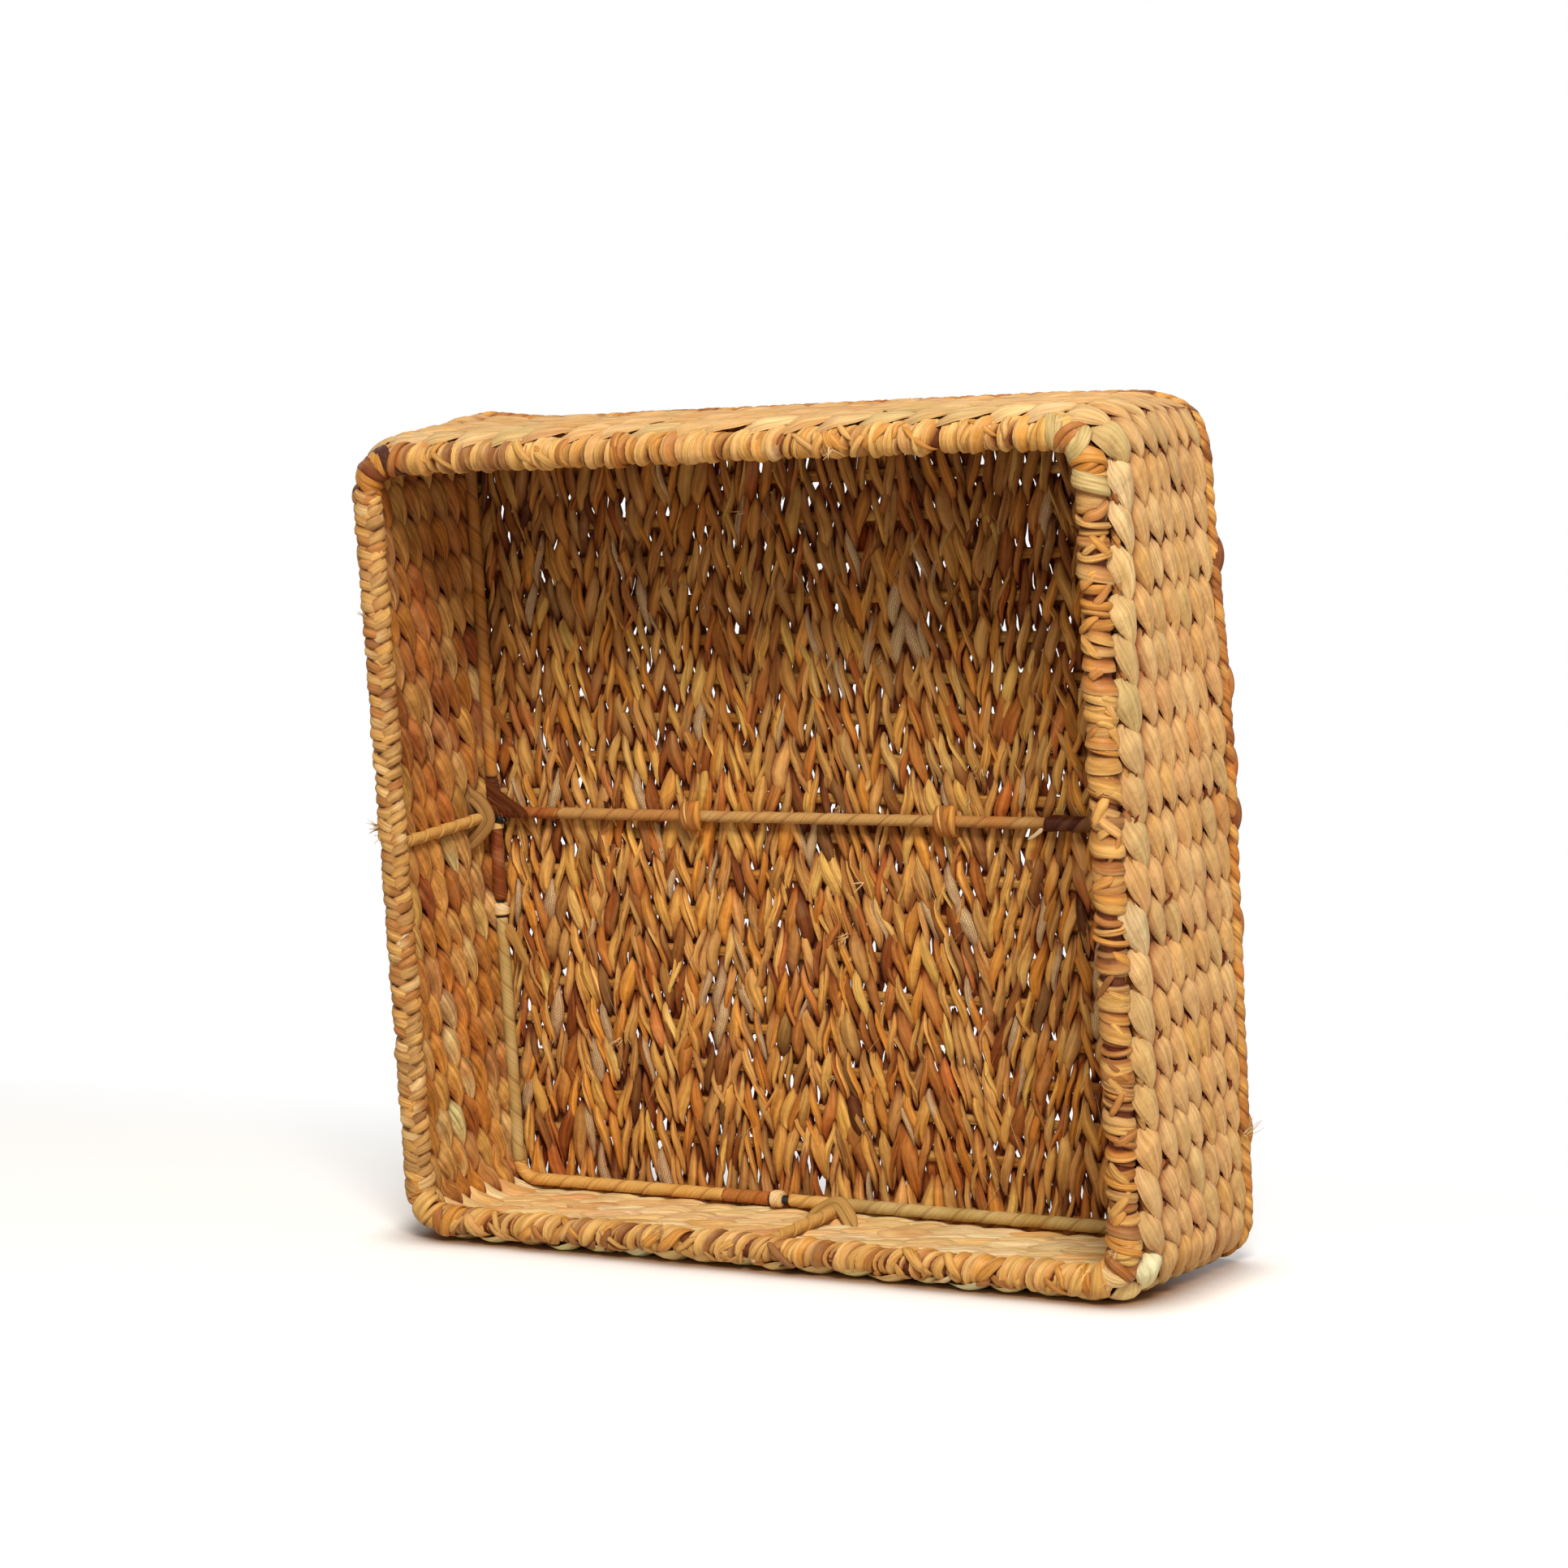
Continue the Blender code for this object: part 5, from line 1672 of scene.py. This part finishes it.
@dataclass
class WireWraps:
    """Leaf wound along the base wire, the brace and the uprights, with the joint and its ties."""

    rim_half: float = 0.1675
    base_half: float = 0.1727
    corner: float = 0.009
    depth: float = 0.087
    brace_raise: float = 0.001

    @property
    def base_loop(self) -> SquareLoop:
        """The base wire's line."""
        return SquareLoop(self.base_half, self.corner, self.depth)

    @property
    def brace(self) -> StraightRun:
        """The brace's line, from the left; distances count from its middle minus the base's half."""
        reach = self.base_half
        return StraightRun(
            (-reach, self.depth, self.brace_raise), (reach, self.depth, self.brace_raise), (0.0, -1.0, 0.0)
        )

    def upright(self, side: int) -> StraightRun:
        """The upright in the middle of a wall: right, top, left or bottom."""
        angle = -side * math.pi / 2
        out = np.array((math.cos(angle), 0.0, -math.sin(angle)))
        start = out * self.rim_half + (0.0, 0.003, 0.0)
        end = out * self.base_half + (0.0, self.depth - 0.0024, 0.0)
        return StraightRun(tuple(start), tuple(end), tuple(out))

    def on_left(self, z: float) -> float:
        """Distance along the base wire of a height on its left side."""
        return 3 * self.base_loop.quarter + self.base_loop.straight / 2 + z

    def on_bottom(self, x: float) -> float:
        """Distance along the base wire of a place on its lowest side."""
        return 2 * self.base_loop.quarter + self.base_loop.straight / 2 - x

    def build(self, finish: bpy.types.Material, tape: bpy.types.Material) -> None:
        """Wind every wire.

        Args:
            finish: the leaf's material.
            tape: the dark tape's material.
        """
        rng = np.random.default_rng(71)
        loop, run = self.base_loop, self.brace
        whole, left, bottom = 4 * loop.quarter, self.on_left, self.on_bottom
        upper = self.wrapped(
            "base_wire_wrap_upper",
            loop,
            rng,
            # Above the joint on the left side the wrap takes darker leaf: painted shade.
            Wrap(left(0.0166), whole, 0.0030, -0.015, Leaf.DUSK, Leaf.OCHRE),
            Wrap(whole - 0.001, whole + bottom(-0.0050), 0.0030, -0.014, Leaf.OLIVE, Leaf.SAGE),
            Wrap(whole + bottom(-0.0040), whole + bottom(-0.0100), 0.0031, -0.012, Leaf.RUST, Leaf.TAN),
            Wrap(whole + bottom(-0.0090), whole + bottom(-0.0300), 0.0030, -0.018, Leaf.STRAW, Leaf.STRAW),
        )
        upper.weave(finish, "olive_leaf", ("base_wrap_upper",), 701)
        lower = self.wrapped(
            "base_wire_wrap_lower",
            loop,
            rng,
            Wrap(bottom(-0.0390), bottom(-0.0640), 0.0032, -0.009, Leaf.RUST, Leaf.TAN),
            Wrap(bottom(-0.0620), 3 * loop.quarter, 0.0030, -0.015, Leaf.STRAW, Leaf.HONEY),
            Wrap(3 * loop.quarter - 0.002, left(-0.0478), 0.0030, -0.015, Leaf.OLIVE, Leaf.SAGE),
        )
        lower.weave(finish, "straw_leaf", ("base_wrap_lower",), 702)
        joint = self.wrapped(
            "left_joint_leaf",
            loop,
            rng,
            Wrap(left(-0.0408), left(-0.0030), 0.0034, -0.010, Leaf.BROWN, Leaf.RED, 0.0005),
            Wrap(left(0.0040), left(0.0175), 0.0034, -0.007, Leaf.BROWN, Leaf.DARK, 0.0005),
        )
        self.gusset(joint, rng)
        joint.weave(finish, "red_leaf", ("left_joint_wrap",), 703)
        band_wrap = Wrap(left(-0.0076), left(-0.0036), 0.0041, -0.008, Leaf.STRAW, Leaf.PALE, 0.0007)
        band = self.wrapped("left_joint_cream_band", loop, rng, band_wrap)
        band.weave(finish, "cream_leaf", ("left_joint_band",), 704)
        cuffs = self.wrapped(
            "cream_cuffs",
            loop,
            rng,
            Wrap(left(-0.0480), left(-0.0411), 0.0042, -0.011, Leaf.CREAM, Leaf.PALE, 0.0009),
            Wrap(bottom(-0.0321), bottom(-0.0390), 0.0042, -0.011, Leaf.CREAM, Leaf.PALE, 0.0009),
        )
        cuffs.weave(finish, "cream_leaf", ("left_cuff", "lower_cuff"), 705)
        brace = self.wrapped(
            "brace_leaf",
            run,
            rng,
            Wrap(0.0030, 0.0360, 0.0028, 0.011, Leaf.RED, Leaf.TAN, 0.0004),
            Wrap(0.0345, 0.1060, 0.0028, 0.014, Leaf.TAN, Leaf.FAWN),
            Wrap(0.1050, 0.2310, 0.0027, 0.016, Leaf.FAWN, Leaf.FAWN),
            Wrap(0.2300, run.length - 0.0030, 0.0027, 0.016, Leaf.FAWN, Leaf.TAN),
        )
        brace.weave(finish, "straw_leaf", ("brace_wrap",), 706)
        for side, x in (("left", -0.0666), ("right", 0.0585)):
            knot = Weaver("brace_knot_" + side)
            self.tie(knot, x, rng)
            knot.weave(finish, "brown_leaf", ("knot_" + side,), 707)
        tape_start, tape_end = self.base_half + 0.1033, self.base_half + 0.1273
        tape_wrap = Wrap(tape_start, tape_end, 0.0038, 0.016, Leaf.WINE, Leaf.DARK, 0.0006)
        end = self.wrapped("brace_tape", run, rng, tape_wrap)
        end.weave(tape, "dark_tape", ("brace_end_tape",), 708)
        self.cut_ends(finish)
        for side, word in enumerate(("right", "top", "left", "bottom")):
            upright = Weaver("upright_leaf_" + word)
            wire = self.upright(side)
            count = 40
            distance = np.linspace(0.0, wire.length, count)
            close = tapered(count, 0.01)
            # A brown core with painted shade, seen between the turns of the wrap.
            rings = wound(wire, distance, np.zeros(count), 0.0, 0.0022 * close, 0.0022 * close, sides=10)
            upright.add(rings, Leaf.BROWN.linear(), 0.5)
            Wrap(0.0, wire.length, 0.00285, 0.013, Leaf.HONEY, Leaf.STRAW, 0.0004).wind(upright, wire, rng)
            upright.weave(finish, "straw_leaf", ("upright_" + word,), 709)
            self.hold(word, side, finish, rng)

    def wrapped(self, name: str, spine: SquareLoop | StraightRun, rng: np.random.Generator, *wraps: Wrap) -> Weaver:
        """Wind stretches of leaf along one wire.

        Args:
            name: the piece's name.
            spine: the wire.
            rng: the seeded source of chance.
            wraps: the stretches.

        Returns:
            The piece, not yet woven.
        """
        piece = Weaver(name)
        for wrap in wraps:
            wrap.wind(piece, spine, rng)
        return piece

    def tie(self, piece: Weaver, x: float, rng: np.random.Generator) -> None:
        """Strips of leaf that tie the brace to the base, crossed over one another.

        Args:
            piece: the piece that takes them.
            x: where along the brace.
            rng: the seeded source of chance.
        """
        strips = (
            (-0.0036, -0.0026, 0.0032, 0.0019, Leaf.TAN),
            (0.0026, 0.0034, 0.0033, 0.0016, Leaf.GOLD),
            (-0.0030, 0.0026, 0.0040, 0.0014, Leaf.DUSK),
            (0.0024, -0.0022, 0.0045, 0.0013, Leaf.OCHRE),
            (-0.0005, 0.0012, 0.0050, 0.0011, Leaf.TAN),
            (-0.0042, 0.0002, 0.0043, 0.0007, Leaf.STRAW),
        )
        for top, foot, reach, width, leaf in strips:
            share = np.linspace(-1.0, 1.0, 20)
            turn = share * math.radians(112)
            lane = x + (top + foot) / 2 + (top - foot) / 2 * share
            points = np.stack(
                (lane, self.depth - reach * np.cos(turn), self.brace_raise + 0.0064 * np.sin(turn)), axis=1
            )
            faces = np.stack((np.zeros(20), -np.cos(turn), np.sin(turn)), axis=1)
            close = tapered(20, 0.12) * (1.0 - 0.25 * np.cos(share * 4 + top * 900))
            rings = sweep(points, faces, width * close, 0.0007 * close, 8, 0.15, creased(rng, 20, 8, 3, 0.5))
            # Painted shade along the edges, deeper towards the ends.
            piece.add(rings, leaf.linear(), painted_edge_shade(0.5 * np.abs(share) ** 3, 8, 0.8))

    def gusset(self, piece: Weaver, rng: np.random.Generator) -> None:
        """Leaf bound slantwise from the base wire to the brace, which fills the corner above the joint."""
        ribs = 9
        for rib in range(ribs):
            share = (rib + 1) / ribs
            height, along = 0.0030 + 0.0125 * share, 0.0010 + 0.0165 * share
            low = 0.0006 * (rib % 2)
            route = [
                (-self.base_half - 0.0034, self.depth + 0.0010, height + 0.0016),
                (-self.base_half - 0.0004, self.depth - 0.0036 + low, height),
                (-self.base_half + 0.46 * along, self.depth - 0.0032 + low, 0.46 * height + 0.0012),
                (-self.base_half + along, self.depth - 0.0030 + low, 0.0022),
                (-self.base_half + along + 0.0012, self.depth - 0.0022, -0.0016),
            ]
            points = curve_through(route, 20)
            close = tapered(20, 0.15)
            folds = creased(rng, 20, 8, 3, 0.5)
            rings = sweep(points, np.tile(MOUTH, (20, 1)), 0.0018 * close, 0.0006 * close, 8, 0.3, folds)
            leaf = Leaf.BROWN.linear() * 0.55 + Leaf.DARK.linear() * (0.25 + 0.2 * (rib % 3))
            # Painted shade along the edges.
            piece.add(rings, leaf, painted_edge_shade(np.full(20, 0.05), 8, 0.8))

    def weld(self, paint: bpy.types.Material) -> None:
        """The bare, rough bead of weld where brace and base wire meet."""
        bm = bmesh.new()
        rng = np.random.default_rng(75)
        for step in range(7):
            made = bmesh.ops.create_icosphere(bm, subdivisions=2, radius=0.0021 + 0.0005 * rng.uniform(-1, 1))
            spot = (
                -self.base_half + 0.0011 * step - 0.0012,
                self.depth - 0.0008,
                0.0012 - 0.0006 * step + 0.0006 * rng.uniform(-1, 1),
            )
            bmesh.ops.translate(bm, verts=made["verts"], vec=STANCE.seat(np.array([spot]))[0])
        mesh = bpy.data.meshes.new("joint_weld")
        for face in bm.faces:
            face.smooth = True
        bm.to_mesh(mesh)
        bm.free()
        mesh.materials.append(paint)
        bead = bpy.data.objects.new("joint_weld", mesh)
        bpy.context.scene.collection.objects.link(bead)
        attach(bead, "root")

    def cut_ends(self, finish: bpy.types.Material) -> None:
        """Cut ends of leaf left standing by the wires."""
        piece = Weaver("cut_ends")
        ends = (
            ((-0.1690, 0.0845, -0.052), (-0.1645, 0.0838, -0.058), (-0.1585, 0.0850, -0.071), 0.0046, Leaf.STRAW),
            ((0.1040, 0.0836, -0.0005), (0.1005, 0.0834, -0.0034), (0.0965, 0.0842, -0.0056), 0.0011, Leaf.CREAM),
            ((-0.1690, 0.0850, 0.0500), (-0.1640, 0.0846, 0.0440), (-0.1600, 0.0862, 0.0350), 0.0035, Leaf.TAN),
        )
        for start, middle, end, width, leaf in ends:
            points = curve_through((start, middle, end), 12)
            close = tapered(12, 0.12) * np.linspace(1.0, 0.55, 12)
            rings = sweep(points, np.tile(MOUTH, (12, 1)), width * close, 0.0004 * close, 8, 0.3)
            # Painted shade along the edges.
            piece.add(rings, leaf.linear(), painted_edge_shade(np.zeros(12), 8, 0.4))
        piece.weave(finish, "straw_leaf", (), 711)

    def hold(self, word: str, side: int, finish: bpy.types.Material, rng: np.random.Generator) -> None:
        """The broad leaf loop that holds an upright against its wall."""
        angle = -side * math.pi / 2
        out = np.array((math.cos(angle), 0.0, -math.sin(angle)))
        up = np.array((math.sin(angle), 0.0, math.cos(angle)))
        depth = np.array((0.0, 1.0, 0.0))
        route = [
            out * 0.1772 + up * 0.0130 + depth * 0.0655,
            out * 0.1722 + up * 0.0085 + depth * 0.0695,
            out * 0.1680 + up * 0.0010 + depth * 0.0740,
            out * 0.1718 + up * -0.0075 + depth * 0.0738,
            out * 0.1775 + up * -0.0130 + depth * 0.0700,
        ]
        piece = Weaver("upright_hold_" + word)
        count = 26
        points = curve_through(route, count)
        face = unit(MOUTH * 0.7 - out * 0.7)
        close = tapered(count, 0.2)
        leaf = Leaf.STRAW if word == "bottom" else Leaf.DUSK
        for shift, width in ((-0.0015, 0.0022), (0.0014, 0.0020)):
            aside = np.cross(face, unit(np.gradient(points, axis=0)))
            folds = creased(rng, count, 8, 3, 0.5)
            rings = sweep(
                points + aside * shift, np.tile(face, (count, 1)), width * close, 0.0008 * close, 8, 0.25, folds
            )
            tint = leaf.linear() * 0.5 + Leaf.OLIVE.linear() * 0.32
            # Painted shade along the edges.
            piece.add(rings, tint, painted_edge_shade(np.full(count, 0.05), 8, 0.7))
        piece.weave(finish, "olive_leaf", ("upright_loop_" + word,), 710)


@dataclass
class Studio:
    """A white floor and backdrop, soft light and the photograph's camera."""

    side: float = 0.335
    stand: tuple[float, float, float] = (1.8908, -3.3492, 0.6149)
    ahead: tuple[float, float, float] = (-0.4710, 0.8715, -0.1369)
    up: tuple[float, float, float] = (-0.0136, 0.1479, 0.9889)
    focal: float = 72.6

    def camera(self) -> None:
        """Set the camera from its place in the basket's frame."""
        data = bpy.data.cameras.new("camera")
        data.lens, data.sensor_width, data.sensor_fit = self.focal, 36.0, "HORIZONTAL"
        item = bpy.data.objects.new("camera", data)
        place = STANCE.seat(np.array([self.stand]) * self.side)[0]
        ends = STANCE.seat(np.array([self.ahead, self.up])) - STANCE.place
        ahead, up = Vector(ends[0]).normalized(), Vector(ends[1])
        right = ahead.cross(up).normalized()
        up = right.cross(ahead)
        item.matrix_world = Matrix.Translation(Vector(place)) @ Matrix((right, up, -ahead)).transposed().to_4x4()
        bpy.context.scene.collection.objects.link(item)
        bpy.context.scene.camera = item

    def lamp(self, name: str, place: tuple[float, float, float], size: float, energy: float) -> None:
        """Hang one soft square lamp that looks at the basket."""
        data = bpy.data.lights.new(name, "AREA")
        data.size, data.energy = size, energy
        item = bpy.data.objects.new(name, data)
        look = Vector((0.0, 0.0, 0.17)) - Vector(place)
        item.matrix_world = Matrix.Translation(place) @ look.to_track_quat("-Z", "Y").to_matrix().to_4x4()
        bpy.context.scene.collection.objects.link(item)

    def world(self) -> None:
        """White behind the basket, and an even, plain light on it."""
        world = bpy.data.worlds.new("studio")
        world.use_nodes = True
        bpy.context.scene.world = world
        tree = world.node_tree
        light = tree.nodes["Background"]
        light.inputs["Strength"].default_value = 0.22
        seen = tree.nodes.new("ShaderNodeBackground")
        seen.inputs["Color"].default_value = (1.0, 1.0, 1.0, 1.0)
        light.inputs["Color"].default_value = (1.0, 0.985, 0.96, 1.0)
        path = tree.nodes.new("ShaderNodeLightPath")
        either = tree.nodes.new("ShaderNodeMath")
        either.operation = "MAXIMUM"
        tree.links.new(path.outputs["Is Camera Ray"], either.inputs[0])
        tree.links.new(path.outputs["Is Glossy Ray"], either.inputs[1])
        mix = tree.nodes.new("ShaderNodeMixShader")
        tree.links.new(either.outputs[0], mix.inputs[0])
        tree.links.new(light.outputs[0], mix.inputs[1])
        tree.links.new(seen.outputs[0], mix.inputs[2])
        tree.links.new(mix.outputs[0], tree.nodes["World Output"].inputs[0])

    def floor(self) -> None:
        """A pale floor that keeps the basket's shadow, adds a painted contact shadow close to it and fades to white
        away from it.
        """
        bm = bmesh.new()
        bmesh.ops.create_circle(bm, cap_ends=True, segments=64, radius=6.0)
        mesh = bpy.data.meshes.new("floor")
        bm.to_mesh(mesh)
        bm.free()
        nodes = Nodes("white_floor")
        place = nodes.add("TexCoord").outputs["Object"]
        length = nodes.add("VectorMath", {0: place}, operation="LENGTH").outputs["Value"]
        grain = nodes.noise(place, 300.0)
        tint = nodes.mix(nodes.ramp(grain, 0.3, 0.7, 0.0, 0.02), (0.68, 0.63, 0.57, 1.0), (0.62, 0.57, 0.52, 1.0))
        path = nodes.add("LightPath").outputs["Is Camera Ray"]
        # Painted contact shadow: ambient occlusion draws the floor's colour and its glow seen from the camera towards
        # dark brown close to the basket.
        open_air = nodes.ramp(nodes.add("AmbientOcclusion", {"Distance": 0.03}, samples=8).outputs["AO"], 0.35, 0.95)
        painted_contact_shadow = nodes.mix(open_air, (0.30, 0.17, 0.09, 1.0), (0.93, 0.88, 0.82, 1.0))
        nodes.put(nodes.shader.inputs["Base Color"], nodes.mix(path, tint, painted_contact_shadow))
        nodes.shader.inputs["Roughness"].default_value = 0.9
        nodes.shader.inputs["Specular IOR Level"].default_value = 0.1
        glow = nodes.add("Emission", {"Color": (1.0, 0.97, 0.925, 1.0)})
        nodes.put(glow.inputs["Strength"], nodes.sum(nodes.sum(path, 0.32, "MULTIPLY"), open_air, "MULTIPLY"))
        near = nodes.add("AddShader", {0: nodes.shader.outputs[0], 1: glow.outputs[0]})
        far_glow = nodes.add("Emission", {"Color": (1.0, 1.0, 1.0, 1.0)})
        behind = nodes.ramp(nodes.add("SeparateXYZ", {0: place}).outputs["Y"], 0.0, 0.28)
        away = nodes.sum(nodes.ramp(length, 0.32, 0.8), behind, "MAXIMUM")
        far = nodes.sum(path, away, "MULTIPLY")
        mix = nodes.add("MixShader", {0: far, 1: near.outputs[0], 2: far_glow.outputs[0]})
        nodes.put(nodes.tree.nodes["Material Output"].inputs["Surface"], mix.outputs[0])
        mesh.materials.append(nodes.material)
        item = bpy.data.objects.new("floor", mesh)
        bpy.context.scene.collection.objects.link(item)

    def build(self) -> None:
        """Set the studio up."""
        self.camera()
        self.world()
        self.floor()
        self.lamp("key", (0.95, -1.6, 1.85), 0.75, 66.0)
        self.lamp("fill", (1.9, -1.2, 0.4), 1.2, 6.5)
        bpy.context.scene.view_settings.view_transform = "Standard"


def dress_wires(paint: bpy.types.Material) -> None:
    """Paint the wires of the frame that the leaf leaves bare."""
    for name in ("rim_wire", "base_wire", "cross_brace"):
        node = frame["nodes"][name]
        for slot in node.material_slots:
            slot.material = paint


def main() -> None:
    """Build the basket piece by piece and report each."""
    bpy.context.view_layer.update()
    Studio().build()
    paint = SteelFinish().make()
    dress_wires(paint)
    wall_finish = LeafFinish("wall_leaf", contrast=0.3, relief=0.0010, painted_shade=0.86, stain=0.16).make()
    inner_finish = LeafFinish(
        "inner_wall_leaf", fibres=22.0, contrast=0.68, relief=0.0011, painted_shade=0.92, fleck=0.85, stain=0.6
    ).make()
    base_finish = LeafFinish("base_leaf", fibres=9.0, contrast=0.5, relief=0.0011, painted_shade=0.92).make()
    rim_finish = LeafFinish("rim_leaf", fibres=12.0, contrast=0.36, roughness=0.5, painted_shade=0.88, gloss=0.26).make()
    wrap_finish = LeafFinish("wrap_leaf", fibres=22.0, contrast=0.34, relief=0.0003, painted_shade=0.8).make()
    tape_finish = LeafFinish("tape", fibres=10.0, contrast=0.3, roughness=0.35, relief=0.0001).make()
    walls = WovenWalls()
    walls.build(wall_finish, inner_finish)
    base = WovenBase()
    base.build(base_finish)
    Stakes(walls, base).build(base_finish)
    RimWhipping().build(rim_finish)
    EdgeRoll().build(rim_finish)
    wires = WireWraps()
    wires.build(wrap_finish, tape_finish)
    wires.weld(paint)
    Frays().build(wrap_finish)


if __name__ == "__main__":
    main()
